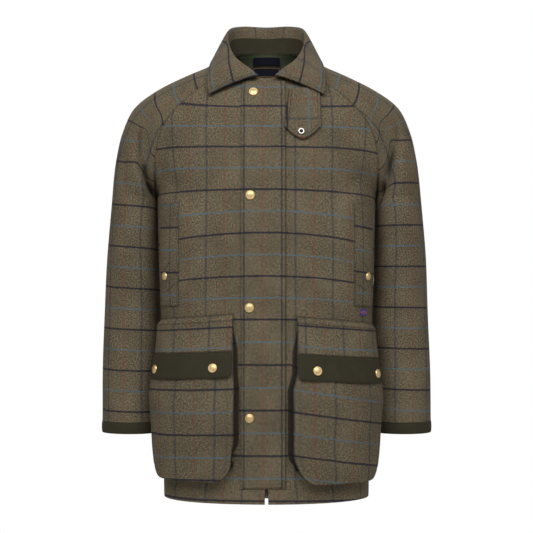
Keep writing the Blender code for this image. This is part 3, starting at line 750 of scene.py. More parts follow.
class Cloth:
    """Meshes from arrays: closed thin shells of cloth and small hard pieces."""

    @staticmethod
    def mesh(
        name: str, points: Array, faces: NDArray[np.int64], uv: Array, kinds: Array, dark: Array | None = None
    ) -> bpy.types.Object:
        """A smooth object of quads or triangles.

        Args:
            name: the piece's name.
            points: vertex places, n by 3.
            faces: vertex numbers, m by 3 or 4, all turned outwards.
            uv: coordinates of each vertex, n by 2.
            kinds: material number of each face.
            dark: share of painted shade at each vertex, 0 to 1: lines along seams, edges and stitched rows,
                and shade in creases.

        Returns:
            The object, linked to the scene.
        """
        mesh = bpy.data.meshes.new(name)
        corners = faces.shape[1]
        mesh.vertices.add(len(points))
        mesh.vertices.foreach_set("co", np.ascontiguousarray(points, dtype=np.float32).ravel())
        mesh.loops.add(faces.size)
        mesh.loops.foreach_set("vertex_index", faces.ravel().astype(np.int32))
        mesh.polygons.add(len(faces))
        mesh.polygons.foreach_set("loop_start", np.arange(0, faces.size, corners, dtype=np.int32))
        mesh.polygons.foreach_set("material_index", kinds.astype(np.int32))
        mesh.polygons.foreach_set("use_smooth", np.ones(len(faces), dtype=bool))
        layer = mesh.uv_layers.new(name="cloth")
        layer.data.foreach_set("uv", uv[faces.ravel()].astype(np.float32).ravel())
        if dark is not None:
            # The seam attribute holds painted shade: dark lines along seams, edges and stitched rows, and
            # shade in creases and on the pocket sides.
            seam = mesh.attributes.new("seam", "FLOAT", "POINT")
            seam.data.foreach_set("value", np.clip(dark, 0.0, 1.0).astype(np.float32))
        mesh.update(calc_edges=True)
        mesh.set_sharp_from_angle(angle=float(np.radians(58.0)))
        obj = bpy.data.objects.new(name, mesh)
        bpy.context.scene.collection.objects.link(obj)
        return obj

    @classmethod
    def shell(cls, name: str, outer: Array, inner: Array, uv: Array, dark: Array | None) -> bpy.types.Object:
        """A closed shell between two grids: outside and rim are material 0, the inside material 1.

        Args:
            name: the piece's name.
            outer: grid of its face.
            inner: grid of its other side.
            uv: coordinates of the grid.
            dark: share of painted shade at each point.

        Returns:
            The object.
        """
        rows, columns = outer.shape[:2]
        count = rows * columns
        index = np.arange(count).reshape(rows, columns)
        corners = [index[:-1, :-1], index[:-1, 1:], index[1:, 1:], index[1:, :-1]]
        quads = np.stack(corners, axis=-1).reshape(-1, 4)
        ring = np.concatenate([index[0], index[1:, -1], index[-1, -2::-1], index[-2:0:-1, 0]])
        ahead = np.roll(ring, -1)
        rim = np.stack([ahead, ring, ring + count, ahead + count], axis=-1)
        faces = np.concatenate([quads, rim, quads[:, ::-1] + count])
        if np.mean(np.sum(grid_normals(outer) * (outer - inner), axis=-1)) < 0.0:
            faces = faces[:, ::-1]
        kinds = np.concatenate([np.zeros(len(quads) + len(rim)), np.ones(len(quads))])
        points = np.concatenate([outer.reshape(-1, 3), inner.reshape(-1, 3)])
        flat = uv.reshape(-1, 2)
        deep = np.zeros(count) if dark is None else np.broadcast_to(dark, (rows, columns)).ravel()
        both = np.concatenate([flat, flat])
        return cls.mesh(name, points, faces, both, kinds, np.concatenate([deep, deep]))

    @staticmethod
    def cut(grid: Array) -> tuple[tuple[float, float], float]:
        """Flat width, length and area of the cloth in a grid of points.

        Args:
            grid: points of the cloth's face.

        Returns:
            Width and length, and the area.
        """
        width = float(lengths(grid, axis=1)[:, -1].max())
        length = float(lengths(grid, axis=0)[-1].max())
        a, b = grid[1:, 1:] - grid[:-1, :-1], grid[1:, :-1] - grid[:-1, 1:]
        area = float(np.linalg.norm(np.cross(a, b), axis=-1).sum() / 2.0)
        return (width, max(length, area / width)), area


class Wardrobe:
    """Puts finished pieces on the frame and keeps count of them."""

    def __init__(self, finishes: dict[str, bpy.types.Material]) -> None:
        """Keep the materials by slot name.

        Args:
            finishes: material of each slot.
        """
        self.finishes = finishes
        self.triangles = 0
        self.cuts: dict[str, tuple[float, float, float]] = {}

    def hard(self, obj: bpy.types.Object, slot: str, *nodes: str, inside: str = "") -> bpy.types.Object:
        """Dress a piece in its slot's material and let it stand for CAD nodes.

        Args:
            obj: the piece.
            slot: name of its material slot.
            nodes: CAD nodes it stands for.
            inside: material of the inner faces, where it differs.

        Returns:
            The same piece.
        """
        obj.data.materials.append(self.finishes[slot])
        obj.data.materials.append(self.finishes[inside or slot])
        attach(obj, BODY)
        slot if slot != "thread" else "moleskin"
        if nodes:
            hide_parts(*nodes)
        count = sum(len(p.vertices) - 2 for p in obj.data.polygons)
        self.triangles += count
        log.info("%s: %d triangles", obj.name, count)
        return obj

    def cloth(
        self,
        name: str,
        outer: Array,
        inner: Array,
        uv: Array,
        slot: str,
        held: Held,
        rests_on: str,
        inside: str = "",
        dark: Array | None = None,
    ) -> bpy.types.Object:
        """A cloth shell that stands for the CAD node of its own name.

        Args:
            name: the CAD node and the piece.
            outer: grid of its face.
            inner: grid of its other side.
            uv: check or surface coordinates of the grid.
            slot: name of its material slot.
            held: how it is kept in its form; not used.
            rests_on: name of what it is sewn to or lies on; not used.
            inside: material of the other side, where it differs.
            dark: share of painted shade at each point, 0 to 1.

        Returns:
            The piece.
        """
        obj = self.hard(Cloth.shell(name + "_cloth", outer, inner, uv, dark), slot, name, inside=inside)
        flat, area = Cloth.cut(outer)
        self.cuts[name] = (flat[0], flat[1], area)
        return obj


class Sewing:
    """Rows of thread: each stitch a small stretched octahedron lying on the cloth."""

    def __init__(self, pitch: float = 0.0036, length: float = 0.0027, thick: float = 0.00050) -> None:
        """Keep the spacing, length and half width of the stitches.

        Args:
            pitch: stitch to stitch.
            length: of a stitch.
            thick: half its width.
        """
        self.pitch = pitch
        self.half = length / 2.0
        self.thick = thick
        self.points: list[Array] = []

    def line(self, path: Array, above: Array) -> None:
        """Sew along a path.

        Args:
            path: points on the cloth, in order, n by 3.
            above: the same points a little off the cloth, which give the way up.
        """
        run = lengths(path)
        count = int(run[-1] / self.pitch)
        if count < 2:
            return
        at = (np.arange(count) + 0.5) * run[-1] / count
        out = unit(above - path)
        spots = (at - self.half, at, at + self.half)
        pick = [np.stack([np.interp(a, run, v) for v in path.T], axis=-1) for a in spots]
        up = unit(np.stack([np.interp(at, run, v) for v in out.T], axis=-1))
        side = unit(np.cross(up, pick[2] - pick[0])) * self.thick
        rise = up * self.thick * 0.8
        mid = pick[1] + rise * 0.35
        six = [pick[0], mid + side, mid + rise, mid - side, mid - rise, pick[2]]
        self.points.append(np.stack(six, axis=1))

    def on(self, place: Place, d: Array, z: Array, lift: Array) -> None:
        """Sew along a line of cloth distances and levels on a panel."""
        d, z, lift = np.broadcast_arrays(np.asarray(d, float), np.asarray(z, float), np.asarray(lift, float))
        self.line(place(d, z, lift), place(d, z, lift + 0.001))

    def build(self, name: str) -> bpy.types.Object:
        """All the stitches as one object.

        Args:
            name: the piece's name.

        Returns:
            The object.
        """
        points = np.concatenate(self.points)
        first = ((0, 2, 1), (0, 3, 2), (0, 4, 3), (0, 1, 4))
        last = ((5, 1, 2), (5, 2, 3), (5, 3, 4), (5, 4, 1))
        one = np.array(first + last, dtype=np.int64)
        faces = (one[None] + 6 * np.arange(len(points))[:, None, None]).reshape(-1, 3)
        flat = points.reshape(-1, 3)
        return Cloth.mesh(name, flat, faces, np.zeros((len(flat), 2)), np.zeros(len(faces)))


@dataclass(frozen=True)
class BodyShell:
    """The two fronts and the back of the shell."""

    rows_below: int = 126
    rows_above: int = 92
    columns: int = 84
    hem_fold: float = 0.0040
    droop: float = 0.22
    notch: float = 0.0020
    slit_top: float = -0.7615
    slit_fade: float = 0.0060

    def row_places(self) -> Array:
        """Rows from hem to neck, just short of the collar seam.

        Returns:
            Rows, as one column.
        """
        low = np.linspace(0.0, ARMPIT, self.rows_below)
        high = np.linspace(ARMPIT, NECK_END, self.rows_above)[1:]
        return np.concatenate([low, high])[:, None]

    def formed(self, at: PanelMap, s: Array, t: Array, flip: Array) -> tuple[Array, Array, Array, Array]:
        """A panel with its folds: the plain surface moved along its normals by fold height less seam dip.

        Args:
            at: the panel.
            s: place across the row.
            t: row.
            flip: mirror factors of each point.

        Returns:
            Outer grid, inner grid, distances from the centre line, and the painted shade along the seams and
            in the creases.
        """
        base = at.block.surface(at.panel, s, t) * flip
        out = at.block.normal(at.panel, s, t) * flip
        lay = np.interp(t, at.t, at.span) * np.ones_like(s)
        edge = (1.0 - s) * lay
        calm = (1.0 - smooth((t - 1.65) / 0.3)) * still(edge, t)
        hem = bell(np.interp(t, at.t, at.run), self.hem_fold)
        dip = SEAM_DIP * (bell(edge, SEAM_WIDTH) + 0.6 * hem)
        outer = base + out * (at.folds.height(base) * calm - dip)[..., None]
        # Painted shade: a dark line along the side and raglan seams, and painted shade on the floors of the
        # deep creases.
        dark = SEAM_DARK * bell(edge, DARK_WIDTH) + at.folds.shade(base)
        return outer, outer - out * WALL, lengths(base, axis=1), dark

    def front(
        self, at: PanelMap, side: Side, check: Check, droop: float, wardrobe: Wardrobe
    ) -> bpy.types.Object:
        """One front, from the centre line to the side and raglan seams.

        Args:
            at: the front panel.
            side: wearer's side.
            check: how the check lies.
            droop: how fast the wefts drop towards the side.
            wardrobe: dresses the piece and puts it on the frame.

        Returns:
            The piece.
        """
        t = self.row_places()
        level = np.interp(t, at.t, at.levels)
        first = 0.0008 + self.notch / 0.25 * smooth((self.slit_top - level) / self.slit_fade)
        s = first + (1.0 - first) * clustered(self.columns)[None, :]
        flip = np.array((side.value, 1.0, 1.0))
        outer, inner, d, dark = self.formed(at, s, t, flip)
        run = at.run_of(t)
        uv = check.uv(d, 0.0 * d)
        uv[..., 1] = Check.body_weft(run - droop * d * d)
        name = f"front_{side.word}"
        return wardrobe.cloth(name, outer, inner, uv, "tweed", Held.DRAPED, "collar", "lining", dark)

    def back(self, at: PanelMap, check: Check, wardrobe: Wardrobe) -> bpy.types.Object:
        """The back in one piece, side seam to side seam.

        Args:
            at: the back panel.
            check: how the check lies.
            wardrobe: dresses the piece and puts it on the frame.

        Returns:
            The piece.
        """
        t = self.row_places()
        q = (2.0 * clustered(2 * self.columns - 13) - 1.0)[None, :]
        flip = np.ones((1, q.shape[1], 3))
        flip[..., 0] = np.where(q < 0.0, -1.0, 1.0)
        outer, inner, d, dark = self.formed(at, np.abs(q), t, flip)
        d = d - d[:, -1:] / 2.0
        run = at.run_of(t)
        uv = check.uv(d, 0.0 * d)
        uv[..., 1] = Check.body_weft(run - self.droop * d * d)
        return wardrobe.cloth("back", outer, inner, uv, "tweed", Held.DRAPED, "collar", "lining", dark)


@dataclass(frozen=True)
class Sleeve:
    """A raglan sleeve in two halves, and the band round its end."""

    side: Side
    check: Check
    lean: tuple[float, float]
    band: float = 0.050
    columns: int = 72
    rows_below: int = 140
    rows_above: int = 92
    elbow: float = 0.955
    upper_period: float = 0.0795
    cuff_swell: float = 0.0012

    def grid(
        self, block: Block, panel: Panel, folds: FoldField, s: Array, t: Array
    ) -> tuple[Array, Array, Array]:
        """Outer grid, normals and plain points of half a sleeve.

        Args:
            block: surfaces of the panels.
            panel: which half panel.
            folds: the creases.
            s: place across the row.
            t: row.

        Returns:
            Outer grid, normals and plain points.
        """
        flip = np.array((self.side.value, 1.0, 1.0))
        base = block.surface(panel, s, t) * flip
        out = block.normal(panel, s, t) * flip
        calm = (1.0 - smooth((t - 1.70) / 0.28)) * still(lengths(base, axis=1), t)
        return base + out * (folds.height(base) * calm)[..., None], out, base

    def uv(self, block: Block, panel: Panel, base: Array, t: Array) -> Array:
        """Check coordinates: across from the overarm line, and along the overarm from the cuff.

        Args:
            block: surfaces of the panels.
            panel: which half panel.
            base: plain points.
            t: row.

        Returns:
            Coordinates of the grid.
        """
        reach = lengths(base, axis=1)
        aside = reach[:, -1:] - reach
        fine = np.linspace(0.0, NECK, 401)
        run = lengths(block.overarm(fine))
        along = np.interp(t, fine, run)
        elbow = float(np.interp(self.elbow, fine, run))
        share = aside / reach[:, -1:]
        drop = Curve(WEFT_DROP)(t)[..., 0] * self.check.weft_period
        lean = np.interp(t, (0.0, ARMPIT), self.lean)
        level = np.interp(base[..., 2], block.overarm(fine)[:, 2], run) + lean * (aside - 0.05)
        mixed = level + (along + drop - level) * smooth((share - 0.72) / 0.28) * smooth((t - 0.98) / 0.14)
        along = mixed + (along + drop * share**1.6 - mixed) * smooth((t - 1.42) / 0.24)
        weft = along - elbow
        weft = np.where(weft < 0.0, weft, weft * self.check.weft_period / self.upper_period)
        return self.check.uv(aside * panel.forward, weft)

    def half(self, block: Block, panel: Panel, folds: FoldField, wardrobe: Wardrobe) -> bpy.types.Object:
        """The front or back half, from underarm and raglan seam to the overarm line.

        Args:
            block: surfaces of the panels.
            panel: which half panel.
            folds: the creases.
            wardrobe: dresses the piece and puts it on the frame.

        Returns:
            The piece.
        """
        low = np.linspace(self.band, ARMPIT, self.rows_below)
        high = np.linspace(ARMPIT, NECK_END, self.rows_above)[1:]
        t = np.concatenate([low, high])[:, None]
        s = clustered(self.columns)[None, :]
        outer, out, base = self.grid(block, panel, folds, s, t)
        lay = lengths(base, axis=1)
        near = bell(lay, SEAM_WIDTH) + 0.35 * bell(lay[:, -1:] - lay, 0.0025)
        outer = outer - out * (SEAM_DIP * near)[..., None]
        uv = self.uv(block, panel, base, t)
        name = f"{panel.value}_{self.side.word}"
        # Painted shade: a dark line along the underarm and raglan seams, and painted shade on the floors of
        # the deep creases.
        dark = SEAM_DARK * bell(lay, DARK_WIDTH) + folds.shade(base)
        inner = outer - out * WALL
        return wardrobe.cloth(name, outer, inner, uv, "tweed", Held.DRAPED, "collar", "lining", dark)

    def cuff(self, block: Block, folds: FoldField, wardrobe: Wardrobe) -> bpy.types.Object:
        """The band round the sleeve end: front half, then back half, with a soft swell.

        Args:
            block: surfaces of the panels.
            folds: the creases.
            wardrobe: dresses the piece and puts it on the frame.

        Returns:
            The piece.
        """
        t = np.linspace(0.0, self.band - 0.0007, 16)[:, None]
        s = np.linspace(0.0, 1.0, 48)[None, :]
        fore, fore_out, _ = self.grid(block, Panel.SLEEVE_FRONT, folds, s, t)
        aft, aft_out, _ = self.grid(block, Panel.SLEEVE_BACK, folds, s[:, ::-1], t)
        base = np.concatenate([fore, aft[:, 1:]], axis=1)
        out = np.concatenate([fore_out, aft_out[:, 1:]], axis=1)
        swell = self.cuff_swell * np.sin(np.pi * t / self.band) ** 0.6
        outer = base + out * swell[..., None]
        uv = np.stack([lengths(outer, axis=1), lengths(outer, axis=0)], axis=-1)
        name = f"cuff_{self.side.word}"
        sewn_to = f"sleeve_front_{self.side.word}"
        return wardrobe.cloth(name, outer, base - out * WALL, uv, "moleskin", Held.FOLDED, sewn_to)


@dataclass(frozen=True)
class Collar:
    """The folded collar, swept round the neck seam, and the band inside its stand."""

    check: Check
    sweep: float = float(np.radians(168.0))
    roll: float = 0.0075
    swell: float = 0.0040
    reach: float = 2.0 / 3.0
    stitch: float = 0.0065
    facing: float = 0.00176

    def at(self, neck: NeckSeam, u: Array, v: Array) -> Array:
        """Face of the collar: v 0 to 1 is a cubic up the stand to the roll, 1 to 2 one down the fall.

        Args:
            neck: seam it stands on.
            u: place round the neck, -1 to 1.
            v: place from the seam to the edge.

        Returns:
            Points.
        """
        u, v = np.broadcast_arrays(np.asarray(u, float), np.asarray(v, float))
        mirrored = tuple((-r[0], -r[1], r[2], r[3], -r[4], r[5], r[6]) for r in COLLAR_LINE[:0:-1])
        row = Curve(mirrored + COLLAR_LINE)(u)
        top, edge = row[..., :3], row[..., 3:]
        foot = neck.point(np.pi / 2.0 - u * self.sweep)
        foot[..., 2] += 0.0010 + 0.0021 * smooth((np.abs(u) - 0.45) / 0.40)
        way = unit((edge - foot) * np.array((1.0, 1.0, 0.25)))
        rise = np.stack([foot, foot + 0.45 * (top - foot), top - self.roll * way, top])
        push = self.swell * (way + np.array((0.0, 0.0, 1.0)))
        fall = np.stack([top, top + self.roll * way, edge - 0.45 * (edge - top) + push, edge])
        points = np.where((v <= 1.0)[..., None], rise, fall)
        q = np.where(v <= 1.0, v, v - 1.0)[..., None]
        r = 1.0 - q
        return r**3 * points[0] + 3 * r * r * q * points[1] + 3 * r * q * q * points[2] + q**3 * points[3]

    def build(self, neck: NeckSeam, wardrobe: Wardrobe, sewing: Sewing) -> bpy.types.Object:
        """The collar with its sewn edge.

        Args:
            neck: seam it stands on.
            wardrobe: dresses the pieces.
            sewing: takes the rows of stitches.

        Returns:
            The piece.
        """
        u = (2.0 * clustered(220) - 1.0)[None, :]
        rise, roll, fall = np.linspace(0.0, 0.8, 22), np.linspace(0.8, 1.2, 22), 1.2 + 0.8 * clustered(48)
        v = np.concatenate([rise, roll[1:], fall[1:]])[:, None]
        base = self.at(neck, u, v)
        out = grid_normals(base)
        down = lengths(base, axis=0)
        left = down[-1:] - down
        along = lengths(base, axis=1)
        end = np.minimum(along, along[:, -1:] - along)
        rim = np.minimum(left, end)
        dip = 0.0007 * bell(rim, 0.0016) + 0.0005 * bell(rim - self.stitch, 0.0012)
        outer = base - out * dip[..., None]
        middle = along[len(v) * 3 // 4]
        uv = self.check.uv(np.broadcast_to(middle - middle[-1] / 2.0, left.shape), left)
        # Painted shade along the edge and the stitched row, over a slight darkening of the whole collar.
        dark = 0.05 + 0.6 * bell(rim, 0.0016) + 0.30 * bell(rim - self.stitch, 0.0011)
        obj = wardrobe.cloth("collar", outer, base - out * WALL, uv, "tweed", Held.FOLDED, "back", dark=dark)
        inset = 1.0 - self.stitch / (along[-1, -1] / 2.0)
        rows = np.linspace(1.30, 2.0 - self.stitch / 0.075, 40)
        for sign in (-1.0, 1.0):
            ends = np.full_like(rows, sign * inset)
            self.sew(neck, sewing, ends, rows)
        self.sew(neck, sewing, np.linspace(-inset, inset, 400), np.full(400, rows[-1]))
        return obj

    def sew(self, neck: NeckSeam, sewing: Sewing, u: Array, v: Array) -> None:
        """A row of stitches along collar coordinates.

        Args:
            neck: seam it stands on.
            sewing: takes the row.
            u: places round the neck.
            v: places down the fall.
        """
        path = self.at(neck, u, v)
        e = 1e-3
        du = self.at(neck, np.minimum(u + e, 1.0), v) - self.at(neck, np.maximum(u - e, -1.0), v)
        dv = self.at(neck, u, v + e) - self.at(neck, u, v - e)
        sewing.line(path, path + unit(np.cross(du, dv)) * 0.001)

    def stand(self, neck: NeckSeam, wardrobe: Wardrobe) -> bpy.types.Object:
        """The moleskin band on the inside of the stand.

        Args:
            neck: seam it stands on.
            wardrobe: dresses the piece and puts it on the frame.

        Returns:
            The piece.
        """
        u = np.linspace(-self.reach, self.reach, 120)[None, :]
        v = np.linspace(-0.025, 0.40, 20)[:, None]
        base = self.at(neck, u, v)
        out = grid_normals(base)
        uv = np.stack([lengths(base, axis=1), lengths(base, axis=0)], axis=-1)
        face, seat = base + out * self.facing, base + out * REST
        return wardrobe.cloth("collar_stand", face, seat, uv, "moleskin", Held.LAID, "collar")


@dataclass(frozen=True)
class Patch:
    """A flat cut lying on a panel: its width and levels, its wall, and its bevelled edges with painted shade
    along them.
    """

    name: str
    slot: str
    first: float
    last: float
    low: float
    high: float
    wall: float = TRIM_WALL
    lift: float = REST
    columns: int = 40
    rows: int = 60
    edge: float = 0.0018
    mark: float = 0.7
    corner: float = 0.0

    def form(
        self, place: Place, under: Lift | None = None
    ) -> tuple[Array, Array, Array, Array, Array]:
        """Outer and inner grid, the cloth distances and levels of the grid, and the painted shade along its
        edges.

        Args:
            place: the panel it lies on.
            under: height of its inner side off the panel, where that isn't even.

        Returns:
            Outer grid, inner grid, distances, levels, painted edge shade.
        """
        line = self.first + (self.last - self.first) * clustered(self.columns)
        d = line[None, :] + np.zeros((self.rows, 1))
        side = np.minimum(np.abs(d - self.first), np.abs(self.last - d))
        turn = self.corner - np.minimum(side, self.corner)
        low = self.low + self.corner - np.sqrt(self.corner**2 - turn**2)
        z = low + (self.high - low) * clustered(self.rows)[:, None]
        rim = np.minimum(side, np.minimum(z - low, self.high - z))
        border = bell(rim, self.edge)
        base = np.full_like(d, self.lift) if under is None else under(d, z)
        top = base + self.wall * (1.0 - 0.45 * border)
        # Painted shade along the edges, strongest at the rim.
        return place(d, z, top), place(d, z, base), d, z, self.mark * border


@dataclass(frozen=True)
class Placket:
    """The fly over the zip, its rows of stitches, and the zip behind it."""

    cut: Patch = Patch(
        "placket", "tweed", -0.0455, 0.0350, -0.7640, -0.0400, PLACKET_WALL, columns=72, rows=300, mark=0.26
    )
    tape: Patch = Patch(
        "zip_tape", "zip_tape", -0.0140, 0.0140, -0.7810, -0.0500, wall=0.0010, lift=-0.0040, rows=120
    )
    warp: float = -0.0400
    tooth_pitch: float = 0.0032
    tooth_length: float = 0.0016
    tooth_half: float = 0.0008
    teeth_high: float = -0.7000
    teeth_low: float = -0.7800
    teeth_lift: float = -0.0024

    def build(self, at: PanelMap, wardrobe: Wardrobe, sewing: Sewing) -> None:
        """The fly, its sewing, the tape and the teeth that show at the hem.

        Args:
            at: the front panel.
            wardrobe: dresses the pieces.
            sewing: takes the rows of stitches.
        """

        def under(d: Array, z: Array) -> Array:
            """Slight slack along the free edge."""
            slack = smooth((-0.020 - d) / 0.025) * (0.5 + 0.5 * np.sin(z * 41.0 + np.sin(z * 17.0)))
            return self.cut.lift + 0.0012 * slack

        outer, inner, d, z, dark = self.cut.form(at.place, under)
        sewn = (self.cut.first + 0.0060, self.cut.last - 0.0020, self.cut.last - 0.0085)
        # Painted shade along the edges and along the three stitched rows.
        for line in sewn:
            dark = dark + 0.30 * bell(d - line, 0.0012)
        uv = Check(self.warp, 0.0).uv(d, 0.0 * d)
        uv[..., 1] = Check.body_weft(at.run_at(z))
        wardrobe.cloth("placket", outer, inner, uv, "tweed", Held.LAID, "front_right", dark=dark)
        down = np.linspace(self.cut.high - 0.004, self.cut.low + 0.004, 500)
        top = self.cut.lift + self.cut.wall
        for place_d in sewn:
            sewing.on(at.place, np.full_like(down, place_d), down, top)
        across = np.linspace(self.cut.first + 0.002, self.cut.last - 0.002, 60)
        for place_z in (self.cut.low + 0.0025, self.cut.low + 0.0085):
            sewing.on(at.place, across, np.full_like(across, place_z), top)
        outer, inner, d, z, _ = self.tape.form(at.place)
        uv = np.stack([d, z], axis=-1)
        wardrobe.cloth("zip_tape", outer, inner, uv, "zip_tape", Held.LAID, "front_left")
        teeth = Sewing(self.tooth_pitch, self.tooth_length, self.tooth_half)
        rows = np.linspace(self.teeth_high, self.teeth_low, 200)
        for place_d in (-self.tooth_half, self.tooth_half):
            teeth.on(at.place, np.full_like(rows, place_d), rows, self.teeth_lift)
        wardrobe.hard(teeth.build("zip_teeth"), "nickel")


@dataclass(frozen=True)
class ThroatTab:
    """The pointed tab under the collar."""

    centre: float = 0.0660
    half: float = 0.0315
    top: float = -0.0580
    side: float = -0.1230
    tip: float = -0.1460
    lift: float = 0.0031
    flare: float = 0.0095
    stitch: float = 0.0060
    check: Check = Check(0.0365, -0.1100, 0.0764, 0.0670)

    def across(self, q: Array, r: Array) -> Array:
        """Cloth distance at a share of the half width and of the height: the inner edge flares downwards."""
        return self.centre + self.half * q + self.flare * (r - 0.4) * (1.0 - q) / 2.0

    def end(self, q: Array) -> Array:
        """Level of the pointed end at a share of the half width."""
        return self.tip + (self.side - self.tip) * np.abs(q) ** 1.6

    def curl(self, q: Array, r: Array) -> Array:
        """How far the tab curls off the front: nothing in its upper part, most at the sides of its end."""
        return 0.0022 * smooth(1.0 - r / 0.6) * (0.4 + 0.6 * np.abs(q))

    def build(self, at: PanelMap, wardrobe: Wardrobe, sewing: Sewing) -> bpy.types.Object:
        """The tab, cut across the cloth, with its sewn edge.

        Args:
            at: the front panel.
            wardrobe: dresses the pieces.
            sewing: takes the rows of stitches.

        Returns:
            The piece.
        """
        q = (2.0 * clustered(44) - 1.0)[None, :]
        r = clustered(56)[:, None]
        end = self.end(q)
        z = end + (self.top - end) * r
        d = self.across(q, r)
        rim = np.minimum(self.half * (1.0 - np.abs(q)), (z - end) * 0.8)
        edge, sewn = bell(rim, 0.0018), bell(rim - self.stitch, 0.0012)
        base = self.lift + self.curl(q, r)
        outer = at.place(d, z, base + TRIM_WALL * (1.0 - 0.45 * edge - 0.25 * sewn))
        inner = at.place(d, z, base)
        uv = self.check.uv(d, z)[..., ::-1]
        inset = 1.0 - self.stitch / self.half
        path_q = np.concatenate([np.full(40, -inset), np.linspace(-inset, inset, 120), np.full(40, inset)])
        low = self.end(path_q)
        path_end = low + 0.0075
        path_z = np.concatenate([np.linspace(self.top, path_end[40], 40), path_end[40:160]])
        path_z = np.concatenate([path_z, np.linspace(path_end[160], self.top, 40)])
        place_r = (path_z - low) / (self.top - low)
        high = self.lift + TRIM_WALL + self.curl(path_q, place_r)
        sewing.on(at.place, self.across(path_q, place_r), path_z, high - 0.0004)
        # Painted shadow along the tab's edge and painted shade along its stitched row.
        dark = 0.72 * edge + 0.34 * sewn
        return wardrobe.cloth("throat_tab", outer, inner, uv, "tweed", Held.LAID, "front_left", dark=dark)


